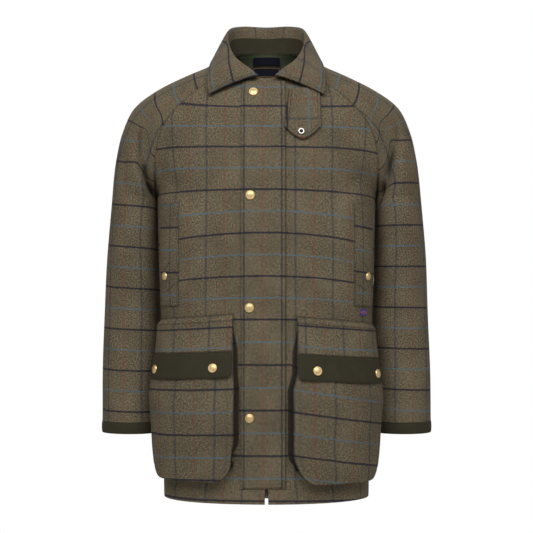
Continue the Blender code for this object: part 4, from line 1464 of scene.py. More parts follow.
@dataclass(frozen=True)
class BellowsPocket:
    """A bellows pocket with its flap: sizes along the front, from its centre line."""

    side: Side
    inward: float
    down: float
    slant: float
    bag_check: Check
    flap_check: Check
    inner: float = 0.0600
    outer: float = 0.2240
    top: float = -0.4780
    bottom: float = -0.7510
    corner: float = 0.0340
    depth: float = 0.0265
    mouth: float = 0.0070
    flap_top: float = -0.4540
    flap_seam: float = -0.5210
    flap_bottom: float = -0.5650
    overhang: float = 0.0020
    stitch: float = 0.0062
    flap_sewn: tuple[float, float] = (0.0025, 0.0120)
    thread_lift: float = 0.0023
    bulge: float = 0.0025
    spread: float = 0.0120
    fade: float = -0.6650
    tilt: float = 0.04

    def placed(self, at: PanelMap) -> Place:
        """Places on this side's front, moved with the pocket.

        Args:
            at: the front panel.

        Returns:
            A function of distance, level and lift.
        """

        def place(d: Array, z: Array, lift: Array) -> Array:
            """Points off the front by lift."""
            return at.place(self.side.value * (d - self.inward), z - self.down, lift)

        return place

    def hung(self, d: Array, z: Array) -> Array:
        """Level at which a place of the flap hangs: its outer end is the lower one."""
        return z - self.slant * (d - self.inner)

    def flap_placed(self, at: PanelMap) -> Place:
        """Places on this side's front, moved with the flap.

        Args:
            at: the front panel.

        Returns:
            A function of distance, level and lift.
        """
        place = self.placed(at)

        def hang(d: Array, z: Array, lift: Array) -> Array:
            """Points off the front by lift."""
            return place(d, self.hung(d, z), lift)

        return hang

    def bag_lift(self, z: Array) -> Array:
        """How far the bag's face stands off the front: out from its mouth, a little in at its foot."""
        full = self.mouth + (self.depth - self.mouth) * smooth((self.top - z) / 0.150)
        return full - 0.0060 * smooth((self.bottom + 0.120 - z) / 0.120)

    def swollen(self, d: Array, z: Array) -> Array:
        """How far the bag swells towards the placket: most at its inner edge, between flap and foot.

        Args:
            d: cloth distance from the centre line.
            z: level down the centre line.

        Returns:
            Distances.
        """
        share = np.clip(1.0 - (d - self.inner) / (self.outer - self.inner), 0.0, 1.0) ** 2
        level = smooth((self.flap_bottom + 0.015 - z) / 0.040) * (1.0 - smooth((self.fade - z) / 0.050))
        return self.bulge * share * level

    def slack(self, d: Array, z: Array) -> Array:
        """Slow unevenness of the bag's face: two crossed waves, none at the mouth."""
        waves = 0.0014 * np.sin(d * 60.0 + z * 21.0) + 0.0012 * np.sin(z * 55.0 - d * 17.0)
        return waves * smooth((self.top - z) / 0.08)

    def spreading(self, z: Array) -> Array:
        """Share of the gusset's spread at a level: none at the mouth and at the foot."""
        return smooth((self.top + 0.020 - z) / 0.070) * smooth((z - self.fade + 0.045) / 0.030)

    def flap_lift(self, d: Array, z: Array) -> Array:
        """Inner face of the flap: sewn down at its top, then clear over the bag.

        Args:
            d: cloth distance from the centre line.
            z: level down the centre line.

        Returns:
            Heights off the front.
        """
        over = self.bag_lift(np.minimum(self.hung(d, z), self.top)) + 0.0024
        wave = 0.0010 * np.sin((d - self.inner) * 52.0 + 0.7) * smooth((self.flap_top - z) / 0.06)
        return REST + (over + np.abs(wave) - REST) * smooth((self.flap_top - z) / 0.014)

    def bag(self, at: PanelMap, wardrobe: Wardrobe, sewing: Sewing) -> bpy.types.Object:
        """Face and gusset in one shell: columns and rows turn up from the border over a soft edge.

        Args:
            at: the front panel.
            wardrobe: dresses the pieces.
            sewing: takes the rows of stitches.

        Returns:
            The piece.
        """
        edge_in = np.array((0.0025, 0.0012, 0.0004, 0.0002, 0.0, -0.0004, 0.0002, 0.0014, 0.0034, 0.0080))
        edge_up = np.array((0.0, 0.12, 0.30, 0.52, 0.74, 0.92, 0.985, 1.0, 0.985, 1.0))
        width = self.outer - self.inner
        middle = np.linspace(0.0140, width - 0.0140, 78)
        across = np.concatenate([edge_in, middle, (width - edge_in)[::-1]])
        across_up = np.concatenate([edge_up, np.ones_like(middle), edge_up[::-1]])[None, :]
        tall = self.top - self.bottom
        up = np.concatenate([edge_in, np.linspace(0.0140, tall, 100)])
        up_up = np.concatenate([edge_up, np.ones(100)])[:, None]
        reach = np.clip(np.minimum(across, width - across), 0.0, self.corner)
        low = self.corner - np.sqrt(self.corner**2 - (self.corner - reach) ** 2)
        share = np.clip(1.0 - up / 0.20, 0.0, 1.0)[:, None] ** 1.2
        z = self.bottom + up[:, None] + low[None, :] * share
        foot = np.concatenate([np.linspace(1.0, 0.0, 7) ** 1.15, np.zeros(len(across) - 7)])[None, :]
        d = self.inner + across[None, :] - self.spread * foot * self.spreading(z)
        uv = self.bag_check.uv(d, z + self.tilt * (d - 0.113))
        d = d - self.swollen(d, z)
        part = np.minimum(across_up, up_up) * (0.5 + 0.5 * np.maximum(across_up, up_up))
        face = (self.bag_lift(z) + self.slack(d, z)) * part + 0.0009
        place = self.placed(at)
        outer = place(d, z, face)
        out = grid_normals(outer) * self.side.value
        wall = np.where(part < 0.08, 0.0004, WALL)[..., None]
        border = np.minimum(np.minimum(across, width - across)[None, :], up[:, None])
        # Painted shade: a little over the whole bag, most on the gusset and its soft edge, and along the
        # stitched row.
        gusset = (0.66 + 0.34 * smooth(part / 0.5)) * (1.0 - smooth((part - 0.76) / 0.23))
        dark = 0.06 + gusset + 0.34 * bell(border - self.stitch, 0.0014)
        word = self.side.word
        obj = wardrobe.cloth(
            f"pocket_{word}", outer, outer - out * wall, uv, "tweed", Held.FOLDED, f"front_{word}", dark=dark
        )
        turn = np.linspace(0.0, np.pi / 2.0, 40)
        radius = self.corner - self.stitch
        line_d = np.concatenate(
            [
                np.full(60, self.inner + self.stitch),
                self.inner + self.corner - radius * np.cos(turn),
                self.outer - self.corner + radius * np.sin(turn),
                np.full(60, self.outer - self.stitch),
            ]
        )
        line_z = np.concatenate(
            [
                np.linspace(self.top - 0.09, self.bottom + self.corner, 60),
                self.bottom + self.corner - radius * np.sin(turn),
                self.bottom + self.corner - radius * np.cos(turn),
                np.linspace(self.bottom + self.corner, self.top - 0.09, 60),
            ]
        )
        line_d = line_d - self.swollen(line_d, line_z)
        rise = self.bag_lift(line_z) + self.slack(line_d, line_z)
        sewing.on(place, line_d, line_z, rise + 0.0007)
        return obj

    def flap(self, at: PanelMap, wardrobe: Wardrobe, sewing: Sewing) -> None:
        """The tweed flap with two sewn rows at its top, and the moleskin band along its lower edge.

        Args:
            at: the front panel.
            wardrobe: dresses the pieces.
            sewing: takes the rows of stitches.
        """
        place = self.flap_placed(at)
        first, last = self.inner - self.overhang, self.outer + self.overhang
        word = self.side.word
        foot, head = self.flap_seam + 0.0002, self.flap_seam - 0.0002
        upper = Patch(
            f"pocket_flap_{word}", "tweed", first, last, foot, self.flap_top, FLAP_WALL, rows=64, columns=64
        )
        outer, inner, d, z, dark = upper.form(place, self.flap_lift)
        # Painted shade along the lower stitched row at the flap's top, over the painted edge shade.
        dark = dark + 0.45 * bell(self.flap_top - self.flap_sewn[1] - z, 0.0014)
        wardrobe.cloth(
            upper.name, outer, inner, self.flap_check.uv(d, z), "tweed", Held.LAID, f"front_{word}", dark=dark
        )
        name = f"flap_band_{word}"
        size = (first, last, self.flap_bottom, head, BAND_WALL)
        lower = Patch(name, "moleskin", *size, rows=44, columns=96, corner=0.0080)
        outer, inner, d, z, dark = lower.form(place, self.flap_lift)
        uv = np.stack([d, z], axis=-1)
        wardrobe.cloth(lower.name, outer, inner, uv, "moleskin", Held.LAID, upper.name, dark=dark)
        across = np.linspace(first + 0.003, last - 0.003, 160)
        upper_rows = tuple(self.flap_top - down for down in self.flap_sewn)
        for level in (*upper_rows, self.flap_seam + 0.0025, self.flap_bottom + 0.0055):
            z = np.full_like(across, level)
            sewing.on(place, across, z, self.flap_lift(across, z) + self.thread_lift)


@dataclass(frozen=True)
class HandFlap:
    """The slanting welt of a hand-warmer pocket, sewn down round its edges."""

    side: Side
    check: Check
    inner: float = 0.1630
    outer: float = 0.2240
    low: float = -0.4380
    high: float = -0.2530
    sink: float = 0.0
    faint: float = 0.45
    marks: Rows = ((0.1848, -0.3508, 0.2008, -0.3652), (0.1714, -0.3954, 0.1906, -0.4055))

    def build(self, at: PanelMap, wardrobe: Wardrobe, sewing: Sewing) -> bpy.types.Object:
        """The welt, its edge rows and the pointed rows beside its snap.

        Args:
            at: the front panel.
            wardrobe: dresses the pieces.
            sewing: takes the rows of stitches.

        Returns:
            The piece.
        """
        name, front = f"hand_flap_{self.side.word}", f"front_{self.side.word}"
        cut = Patch(name, "tweed", self.inner, self.outer, self.low, self.high, rows=120, columns=60)

        def place(d: Array, z: Array, lift: Array) -> Array:
            """Points on this side's front."""
            return at.place(self.side.value * d, z, lift)

        outer, inner, d, z, dark = cut.form(place)
        # Painted shade: a fainter share of the edge shade, and a dark line along each pointed stitched row.
        dark = self.faint * dark
        for d0, z0, d1, z1 in self.marks:
            span = (d1 - d0) ** 2 + (z1 - z0) ** 2
            share = np.clip(((d - d0) * (d1 - d0) + (z - z0) * (z1 - z0)) / span, 0.0, 1.0)
            off = (d - d0 - share * (d1 - d0)) ** 2 + (z - z0 - share * (z1 - z0)) ** 2
            dark = dark + 0.6 * np.exp(-off / 0.0014**2)
        down = np.linspace(self.high - 0.004, self.low + 0.004, 120)
        across = np.linspace(self.inner + 0.003, self.outer - 0.003, 60)
        top = cut.lift + cut.wall
        sewing.on(place, np.full_like(down, self.inner + 0.0025), down, top)
        for level in (self.high - 0.003, self.low + 0.003, self.low + 0.010):
            sewing.on(place, across, np.full_like(across, level), top)
        slant = np.linspace(0.0, 1.0, 40)
        for d0, z0, d1, z1 in self.marks:
            sewing.on(place, d0 + (d1 - d0) * slant, z0 + (z1 - z0) * slant, top)
        uv = self.check.uv(d, self.sink * z + (1.0 - self.sink) * outer[..., 2])
        return wardrobe.cloth(name, outer, inner, uv, "tweed", Held.LAID, front, dark=dark)


class Turned:
    """Small turned pieces, seated square on the cloth."""

    # Profiles, top middle to bottom middle: share of the radius, share of the height
    CAP: Rows = (
        (0.00, 0.86),
        (0.30, 0.85),
        (0.52, 0.78),
        (0.62, 0.66),
        (0.66, 0.60),
        (0.72, 0.66),
        (0.82, 0.66),
        (0.93, 0.52),
        (0.99, 0.26),
        (1.00, 0.05),
        (0.96, 0.00),
        (0.00, 0.00),
    )
    RING: Rows = (
        (0.00, 0.16),
        (0.44, 0.16),
        (0.50, 0.30),
        (0.56, 0.78),
        (0.68, 0.98),
        (0.82, 0.98),
        (0.93, 0.74),
        (1.00, 0.30),
        (1.00, 0.05),
        (0.96, 0.00),
        (0.00, 0.00),
    )
    STUD: Rows = (
        (0.00, 0.620),
        (0.20, 0.600),
        (0.34, 0.460),
        (0.42, 0.200),
        (0.42, 0.165),
        (0.00, 0.165),
    )

    @staticmethod
    def build(
        name: str, profile: Rows, centre: Array, out: Array, radius: float, height: float
    ) -> bpy.types.Object:
        """A profile of radius and height swept round an axis.

        Args:
            name: the piece's name.
            profile: share of the radius and of the height, from the top middle to the bottom middle.
            centre: foot of the axis.
            out: unit way of the axis.
            radius: outer radius.
            height: height of a share of one.

        Returns:
            The closed piece.
        """
        rows = np.array(profile) * np.array((radius, height))
        aside = unit(np.cross(out, np.array((0.31, 0.12, 0.94))))
        other = np.cross(out, aside)
        angle = np.linspace(0.0, 2.0 * np.pi, 44, endpoint=False)
        ring = aside * np.cos(angle)[:, None] + other * np.sin(angle)[:, None]
        body = centre + rows[1:-1, None, :1] * ring + rows[1:-1, None, 1:] * out
        count = len(angle)
        index = 1 + np.arange(body.shape[0] * count).reshape(body.shape[0], count)
        turn = np.roll(index, -1, axis=1)
        a, b, c, e = (v.ravel() for v in (index[:-1], turn[:-1], turn[1:], index[1:]))
        last = 1 + index.size
        zero = np.zeros(count, dtype=np.int64)
        faces = np.concatenate(
            [
                np.stack([zero, index[0], turn[0]], axis=-1),
                np.stack([a, e, c], axis=-1),
                np.stack([a, c, b], axis=-1),
                np.stack([zero + last, turn[-1], index[-1]], axis=-1),
            ]
        )
        ends = centre + rows[[0, -1], 1][:, None] * out
        points = np.concatenate([ends[:1], body.reshape(-1, 3), ends[1:]])
        return Cloth.mesh(name, points, faces, np.zeros((len(points), 2)), np.zeros(len(faces)))

    @staticmethod
    def seat(place: Place, d: float, z: float, lift: Lift) -> tuple[Array, Array]:
        """Foot and axis of a piece standing on cloth whose face is off a panel by lift.

        Args:
            place: the panel.
            d: cloth distance from the centre line.
            z: level down the centre line.
            lift: height of the cloth's face.

        Returns:
            Foot and axis.
        """
        e = 0.004
        ds = d + np.array((0.0, e, -e, 0.0, 0.0))
        zs = z + np.array((0.0, 0.0, 0.0, e, -e))
        spots = place(ds, zs, lift(ds, zs))
        out = unit(np.cross(spots[1] - spots[2], spots[3] - spots[4]))
        out = out * (1.0 if out[1] < 0.0 else -1.0)
        return spots[0] + out * 0.0003, out


@dataclass(frozen=True)
class Fasteners:
    """Snap caps on placket, flaps and hand-warmer welts, and the open ring on the throat tab."""

    radius: float = 0.0085
    height: float = 0.0036
    placket: Rows = ((-0.0235, -0.0600), (-0.0285, -0.2450), (-0.0300, -0.4440), (-0.0300, -0.6390))
    flap: tuple[float, float] = (0.0900, 0.2060)
    flap_level: float = -0.5480
    hand: tuple[float, float] = (0.1990, -0.3770)
    ring: tuple[float, float] = (0.0610, -0.1330)
    ring_radius: float = 0.0058
    ring_height: float = 0.0030
    hand_share: float = 0.9

    def cap(self, name: str, seat: tuple[Array, Array], radius: float, wardrobe: Wardrobe) -> None:
        """One brass cap in place of its CAD node."""
        obj = Turned.build(name + "_cap", Turned.CAP, seat[0], seat[1], radius, self.height)
        wardrobe.hard(obj, "brass", name)

    def build(
        self, at: PanelMap, pockets: tuple[BellowsPocket, ...], tab: ThroatTab, wardrobe: Wardrobe
    ) -> None:
        """All the caps and the ring.

        Args:
            at: the front panel.
            pockets: both pockets.
            tab: the throat tab.
            wardrobe: dresses the pieces.
        """

        def trim(d: Array, z: Array) -> Array:
            """Outer face of the welts."""
            return np.full_like(z, REST + TRIM_WALL)

        def fly(d: Array, z: Array) -> Array:
            """Outer face of the placket."""
            return np.full_like(z, REST + PLACKET_WALL)

        for n, (d, z) in enumerate(self.placket):
            self.cap(f"placket_snap_{n + 1}", Turned.seat(at.place, d, z, fly), self.radius, wardrobe)
        for pocket in pockets:

            def flap(d: Array, z: Array) -> Array:
                """Outer face of this pocket's band."""
                return pocket.flap_lift(d, z) + FLAP_WALL

            word, way = pocket.side.word, pocket.side.value
            for n, d in enumerate(self.flap):
                seat = Turned.seat(pocket.flap_placed(at), d, self.flap_level, flap)
                self.cap(f"flap_snap_{word}_{n + 1}", seat, self.radius, wardrobe)
            seat = Turned.seat(at.place, way * self.hand[0], self.hand[1], trim)
            self.cap(f"hand_snap_{word}", seat, self.radius * self.hand_share, wardrobe)

        def face(d: Array, z: Array) -> Array:
            """Outer face of the throat tab."""
            return np.full_like(z, tab.lift + TRIM_WALL + 0.0009)

        seat = Turned.seat(at.place, self.ring[0], self.ring[1], face)
        size = (self.ring_radius, self.ring_height)
        ring = Turned.build("throat_ring_rim", Turned.RING, *seat, *size)
        wardrobe.hard(ring, "nickel", "throat_ring")
        stud = Turned.build("throat_ring_stud", Turned.STUD, *seat, *size)
        wardrobe.hard(stud, "zip_tape")


@dataclass(frozen=True)
class NeckInside:
    """The lining below the collar at the back, its two bare labels, and the small flag label."""

    lining: Patch = Patch("neck_lining", "lining", -0.058, 0.058, -0.0600, 0.0290, 0.0010, -0.0040)
    upper: Patch = Patch(
        "label_upper", "label", -0.0265, 0.0265, 0.0150, 0.0285, 0.0007, -0.00595, 30, 16, 0.0008
    )
    lower: Patch = Patch(
        "label_lower", "label", -0.0265, 0.0265, -0.0075, 0.0120, 0.0007, -0.00595, 30, 16, 0.0008
    )
    flag: Patch = Patch("flag_label", "flag", 0.1790, 0.2000, -0.4565, -0.4425, 0.0010, REST, 20, 14, 0.0008)

    def build(self, front: PanelMap, back: PanelMap, wardrobe: Wardrobe) -> None:
        """The four pieces; the ones inside the back show their inner side.

        Args:
            front: the front panel.
            back: the back panel.
            wardrobe: dresses the pieces.
        """
        for cut, at, on in (
            (self.lining, back, "back"),
            (self.upper, back, "neck_lining"),
            (self.lower, back, "neck_lining"),
            (self.flag, front, "front_left"),
        ):
            outer, inner, d, z, _ = cut.form(at.place)
            u, v = (d - cut.first) / (cut.last - cut.first), (z - cut.low) / (cut.high - cut.low)
            uv = np.stack([u, v], axis=-1)
            if cut is self.upper:
                uv = 0.5 + 0.2 * (uv - 0.5)
            wardrobe.cloth(cut.name, outer, inner, uv, cut.slot, Held.LAID, on)


def linear(red: int, green: int, blue: int) -> Colour:
    """A display colour, 0 to 255, as the shader's linear colour.

    Args:
        red: red.
        green: green.
        blue: blue.

    Returns:
        Linear red, green, blue and alpha.
    """
    v = np.array((red, green, blue)) / 255.0
    out = np.where(v <= 0.04045, v / 12.92, ((v + 0.055) / 1.055) ** 2.4)
    return float(out[0]), float(out[1]), float(out[2]), 1.0


class Graph:
    """Short hand for wiring the nodes of one tree."""

    def __init__(self, tree: bpy.types.NodeTree) -> None:
        """Keep the tree."""
        self.tree = tree

    def node(self, kind: str, **settings: object) -> bpy.types.Node:
        """A new node with some of its settings.

        Args:
            kind: node type.
            settings: properties of the node.

        Returns:
            The node.
        """
        node = self.tree.nodes.new(kind)
        for key, value in settings.items():
            setattr(node, key, value)
        return node

    def feed(self, socket: Socket, value: "Socket | float | tuple[float, ...]") -> None:
        """Link a socket, or set it to a constant.

        Args:
            socket: the input.
            value: an output, or the constant.
        """
        if isinstance(value, bpy.types.NodeSocket):
            self.tree.links.new(value, socket)
        else:
            socket.default_value = value

    def math(self, kind: str, *values: "Socket | float") -> Socket:
        """Result of a math node.

        Args:
            kind: operation.
            values: its inputs in order.

        Returns:
            The output.
        """
        node = self.node("ShaderNodeMath", operation=kind)
        for socket, value in zip(node.inputs, values):
            self.feed(socket, value)
        return node.outputs[0]

    def mix(self, share: "Socket | float", a: "Socket | Colour", b: "Socket | Colour") -> Socket:
        """Colour between a and b.

        Args:
            share: share of b.
            a: first colour.
            b: second colour.

        Returns:
            The output.
        """
        node = self.node("ShaderNodeMix", data_type="RGBA")
        self.feed(node.inputs["Factor"], share)
        self.feed(node.inputs[6], a)
        self.feed(node.inputs[7], b)
        return node.outputs[2]

    def ramp(self, value: Socket, low: float, high: float, first: float = 0.0, last: float = 1.0) -> Socket:
        """Smooth step of a value from low to high.

        Args:
            value: what is read.
            low: where it starts.
            high: where it ends.
            first: result below low.
            last: result above high.

        Returns:
            The output.
        """
        node = self.node("ShaderNodeMapRange", interpolation_type="SMOOTHSTEP")
        names = ("Value", "From Min", "From Max", "To Min", "To Max")
        for name, v in zip(names, (value, low, high, first, last)):
            self.feed(node.inputs[name], v)
        return node.outputs[0]

    def noise(self, vector: Socket, scale: float, detail: float = 2.0) -> Socket:
        """Noise from 0 to 1 about a half.

        Args:
            vector: place.
            scale: bumps to a unit.
            detail: octaves.

        Returns:
            The output.
        """
        node = self.node("ShaderNodeTexNoise")
        self.feed(node.inputs["Vector"], vector)
        self.feed(node.inputs["Scale"], scale)
        self.feed(node.inputs["Detail"], detail)
        return node.outputs["Fac"]

    def vector(self, x: "Socket | float", y: "Socket | float", z: "Socket | float" = 0.0) -> Socket:
        """A vector from its parts.

        Args:
            x: first part.
            y: second part.
            z: third part.

        Returns:
            The output.
        """
        node = self.node("ShaderNodeCombineXYZ")
        for socket, value in zip(node.inputs, (x, y, z)):
            self.feed(socket, value)
        return node.outputs[0]

    def parts(self, vector: Socket) -> tuple[Socket, Socket, Socket]:
        """The parts of a vector.

        Args:
            vector: the vector.

        Returns:
            Its three outputs.
        """
        node = self.node("ShaderNodeSeparateXYZ")
        self.feed(node.inputs[0], vector)
        return node.outputs[0], node.outputs[1], node.outputs[2]


@dataclass(frozen=True)
class Tweed:
    """The checked tweed: ground, wefts, warps, twill and flecks. Line widths in millimetres."""

    shade: Colour = linear(60, 56, 47)
    light: Colour = linear(131, 119, 96)
    amber: Colour = linear(138, 96, 58)
    moss: Colour = linear(70, 82, 60)
    navy: Colour = linear(24, 27, 48)
    sky: Colour = linear(80, 108, 122)
    warp: Colour = linear(48, 54, 68)
    rust: Colour = linear(126, 64, 50)
    warp_period: float = 67.0
    weft_period: float = 77.0
    twill: float = 3.1

    def group(self) -> bpy.types.NodeTree:
        """Node group from check coordinates to colour and height.

        Returns:
            The group.
        """
        tree = bpy.data.node_groups.new("tweed_check", "ShaderNodeTree")
        tree.interface.new_socket("Check", in_out="INPUT", socket_type="NodeSocketVector")
        tree.interface.new_socket("Color", in_out="OUTPUT", socket_type="NodeSocketColor")
        tree.interface.new_socket("Height", in_out="OUTPUT", socket_type="NodeSocketFloat")
        g = Graph(tree)
        u, v, _ = g.parts(g.node("NodeGroupInput").outputs[0])
        x = g.math("MULTIPLY", u, self.warp_period)
        y = g.math("MULTIPLY", v, self.weft_period)
        flat = g.vector(x, y)
        sway = g.math("MULTIPLY", g.math("SUBTRACT", g.noise(flat, 0.040), 0.5), 0.020)
        jitter = g.math("MULTIPLY", g.math("SUBTRACT", g.noise(flat, 0.33, 1.0), 0.5), 0.022)
        sway = g.math("ADD", sway, jitter)
        slant = g.math("MULTIPLY", g.math("ADD", x, y), 2.0 * float(np.pi) / self.twill)
        rib = g.math("MULTIPLY_ADD", g.math("SINE", slant), 0.5, 0.5)
        speck = g.noise(flat, 0.38, 1.5)
        cloud = g.noise(flat, 0.016, 2.0)
        tone = g.math("ADD", g.math("MULTIPLY", rib, 0.30), g.math("MULTIPLY", speck, 1.0))
        tone = g.math("ADD", tone, g.math("MULTIPLY", g.math("SUBTRACT", cloud, 0.5), 0.30))
        color = g.mix(g.ramp(tone, 0.42, 0.90), self.shade, self.light)
        fleck = g.ramp(g.noise(g.vector(g.math("ADD", x, 71.0), y), 0.26, 1.0), 0.56, 0.68, 0.0, 0.40)
        color = g.mix(fleck, color, self.amber)
        aside = g.vector(g.math("ADD", x, 23.0), g.math("ADD", y, 9.0))
        moss = g.ramp(g.noise(aside, 0.24, 1.0), 0.56, 0.70, 0.0, 0.50)
        color = g.mix(moss, color, self.moss)
        steps = g.math("MULTIPLY_ADD", x, 0.9, g.math("MULTIPLY", y, 1.75))
        broken = g.ramp(g.math("SINE", steps), -0.9, 0.5, 0.35, 1.0)
        grain = g.ramp(speck, 0.30, 0.62, 0.70, 1.0)
        torn = g.ramp(g.noise(g.vector(x, g.math("ADD", y, 37.0)), 0.22, 2.0), 0.38, 0.58, 0.45, 1.0)
        for coordinate, offset, period, half, share, tint, cover in (
            (u, 0.5, self.warp_period, 1.4, 0.58, self.rust, broken),
            (u, 0.0, self.warp_period, 1.9, 0.72, self.warp, broken),
            (v, 0.5, self.weft_period, 1.35, 0.85, self.sky, torn),
            (v, 0.0, self.weft_period, 1.75, 0.90, self.navy, grain),
        ):
            moved = g.math("ADD", g.math("ADD", coordinate, 0.5 - offset), sway)
            far = g.math("ABSOLUTE", g.math("SUBTRACT", g.math("FRACT", moved), 0.5))
            line = g.ramp(g.math("MULTIPLY", far, period), half - 0.7, half + 0.7, share, 0.0)
            color = g.mix(g.math("MULTIPLY", line, cover), color, tint)
        height = g.math("ADD", g.math("MULTIPLY", rib, 0.5), g.math("MULTIPLY", speck, 0.9))
        end = g.node("NodeGroupOutput")
        g.feed(end.inputs[0], color)
        g.feed(end.inputs[1], height)
        return tree


@dataclass(frozen=True)
class Nap:
    """Mottle of a plain cloth or worn metal, in object space."""

    name: str
    scale: float
    spread: float

    def group(self) -> bpy.types.NodeTree:
        """Node group from a colour and a place to a mottled colour and a height.

        Returns:
            The group.
        """
        tree = bpy.data.node_groups.new(self.name, "ShaderNodeTree")
        tree.interface.new_socket("Place", in_out="INPUT", socket_type="NodeSocketVector")
        tree.interface.new_socket("Tint", in_out="INPUT", socket_type="NodeSocketColor")
        tree.interface.new_socket("Color", in_out="OUTPUT", socket_type="NodeSocketColor")
        tree.interface.new_socket("Height", in_out="OUTPUT", socket_type="NodeSocketFloat")
        g = Graph(tree)
        start = g.node("NodeGroupInput")
        fine = g.noise(start.outputs[0], self.scale, 3.0)
        broad = g.noise(start.outputs[0], self.scale / 14.0, 2.0)
        both = g.math("ADD", g.math("MULTIPLY", fine, 0.6), g.math("MULTIPLY", broad, 0.4))
        lift = g.math("MULTIPLY_ADD", g.math("SUBTRACT", both, 0.5), self.spread, 1.0)
        scaled = g.node("ShaderNodeVectorMath", operation="SCALE")
        g.feed(scaled.inputs[0], start.outputs[1])
        g.feed(scaled.inputs["Scale"], lift)
        end = g.node("NodeGroupOutput")
        g.feed(end.inputs[0], scaled.outputs[0])
        g.feed(end.inputs[1], fine)
        return tree


class Finishes:
    """Materials of the jacket by slot."""

    def __init__(self) -> None:
        """Make the shared groups."""
        self.tweed_group = Tweed().group()
        self.nap = Nap("cloth_nap", 900.0, 0.9).group()
        self.wear = Nap("metal_wear", 700.0, 0.5).group()

    @staticmethod
    def blank(
        name: str, roughness: float, metallic: float = 0.0
    ) -> tuple[bpy.types.Material, Graph, bpy.types.Node]:
        """A Principled material with its plain constants.

        Args:
            name: material name.
            roughness: Principled roughness.
            metallic: one for metal.

        Returns:
            The material, its graph and its shader.
        """
        mat = bpy.data.materials.new(name)
        mat.use_nodes = True
        shader = mat.node_tree.nodes["Principled BSDF"]
        shader.inputs["Roughness"].default_value = roughness
        shader.inputs["Metallic"].default_value = metallic
        shader.inputs["Specular IOR Level"].default_value = 0.5 if metallic else 0.18
        return mat, Graph(mat.node_tree), shader

    @staticmethod
    def relief(g: Graph, shader: bpy.types.Node, height: Socket, depth: float) -> None:
        """Feed a height to the shader's normal.

        Args:
            g: the material's graph.
            shader: its shader.
            height: what stands out.
            depth: relief in metres.
        """
        bump = g.node("ShaderNodeBump")
        bump.inputs["Strength"].default_value = 1.0
        bump.inputs["Distance"].default_value = depth
        g.feed(bump.inputs["Height"], height)
        g.feed(shader.inputs["Normal"], bump.outputs[0])

    def tweed(self) -> bpy.types.Material:
        """The checked tweed on the piece's check coordinates.

        Returns:
            The material.
        """
        mat, g, shader = self.blank("tweed", 0.92)
        place = g.node("ShaderNodeUVMap", uv_map="cloth")
        group = g.node("ShaderNodeGroup", node_tree=self.tweed_group)
        g.feed(group.inputs[0], place.outputs[0])
        # Painted shade: the tweed is darkened by the seam attribute, which holds the painted shade along
        # seams, edges and stitched rows and in creases.
        deep = g.node("ShaderNodeAttribute", attribute_name="seam").outputs["Fac"]
        color = g.mix(g.math("MULTIPLY", deep, 0.90), group.outputs[0], linear(20, 18, 15))
        g.feed(shader.inputs["Base Color"], color)
        self.relief(g, shader, group.outputs[1], 0.0005)
        return mat

    def plain(
        self, name: str, tint: Colour, roughness: float, metallic: float = 0.0, depth: float = 0.0003
    ) -> bpy.types.Material:
        """A plain cloth, or a metal, with its mottle.

        Args:
            name: material name.
            tint: linear colour.
            roughness: Principled roughness.
            metallic: one for metal.
            depth: relief in metres.

        Returns:
            The material.
        """
        mat, g, shader = self.blank(name, roughness, metallic)
        place = g.node("ShaderNodeTexCoord")
        group = g.node("ShaderNodeGroup", node_tree=self.wear if metallic else self.nap)
        g.feed(group.inputs[0], place.outputs["Object"])
        group.inputs[1].default_value = tint
        g.feed(shader.inputs["Base Color"], group.outputs[0])
        self.relief(g, shader, group.outputs[1], depth)
        return mat

    def label(self) -> bpy.types.Material:
        """A bare dark label with a thin border.

        Returns:
            The material.
        """
        mat, g, shader = self.blank("label", 0.6)
        u, v, _ = g.parts(g.node("ShaderNodeUVMap", uv_map="cloth").outputs[0])
        du = g.math("ABSOLUTE", g.math("SUBTRACT", u, 0.5))
        dv = g.math("ABSOLUTE", g.math("SUBTRACT", v, 0.5))
        far = g.math("MAXIMUM", du, g.math("MULTIPLY_ADD", dv, 0.40, 0.30))
        band = g.math("MULTIPLY", g.ramp(far, 0.445, 0.455), g.ramp(far, 0.470, 0.480, 1.0, 0.0))
        g.feed(shader.inputs["Base Color"], g.mix(band, linear(34, 35, 48), linear(150, 118, 70)))
        return mat

    def flag(self) -> bpy.types.Material:
        """A country's flag: crossed bars and diagonals on a blue ground.

        Returns:
            The material.
        """
        mat, g, shader = self.blank("flag", 0.75)
        u, v, _ = g.parts(g.node("ShaderNodeUVMap", uv_map="cloth").outputs[0])
        x = g.math("MULTIPLY", g.math("SUBTRACT", u, 0.5), 2.0)
        y = g.math("SUBTRACT", v, 0.5)
        ax, ay = g.math("ABSOLUTE", x), g.math("ABSOLUTE", y)
        slant = g.math("ABSOLUTE", g.math("SUBTRACT", g.math("MULTIPLY", ax, 0.5), ay))
        color = g.mix(g.ramp(slant, 0.06, 0.09, 1.0, 0.0), linear(44, 50, 108), linear(104, 98, 138))
        color = g.mix(g.ramp(slant, 0.02, 0.04, 1.0, 0.0), color, linear(124, 64, 98))
        upright = g.math("MINIMUM", ax, ay)
        color = g.mix(g.ramp(upright, 0.11, 0.14, 1.0, 0.0), color, linear(116, 104, 140))
        color = g.mix(g.ramp(upright, 0.06, 0.09, 1.0, 0.0), color, linear(142, 66, 94))
        g.feed(shader.inputs["Base Color"], color)
        return mat

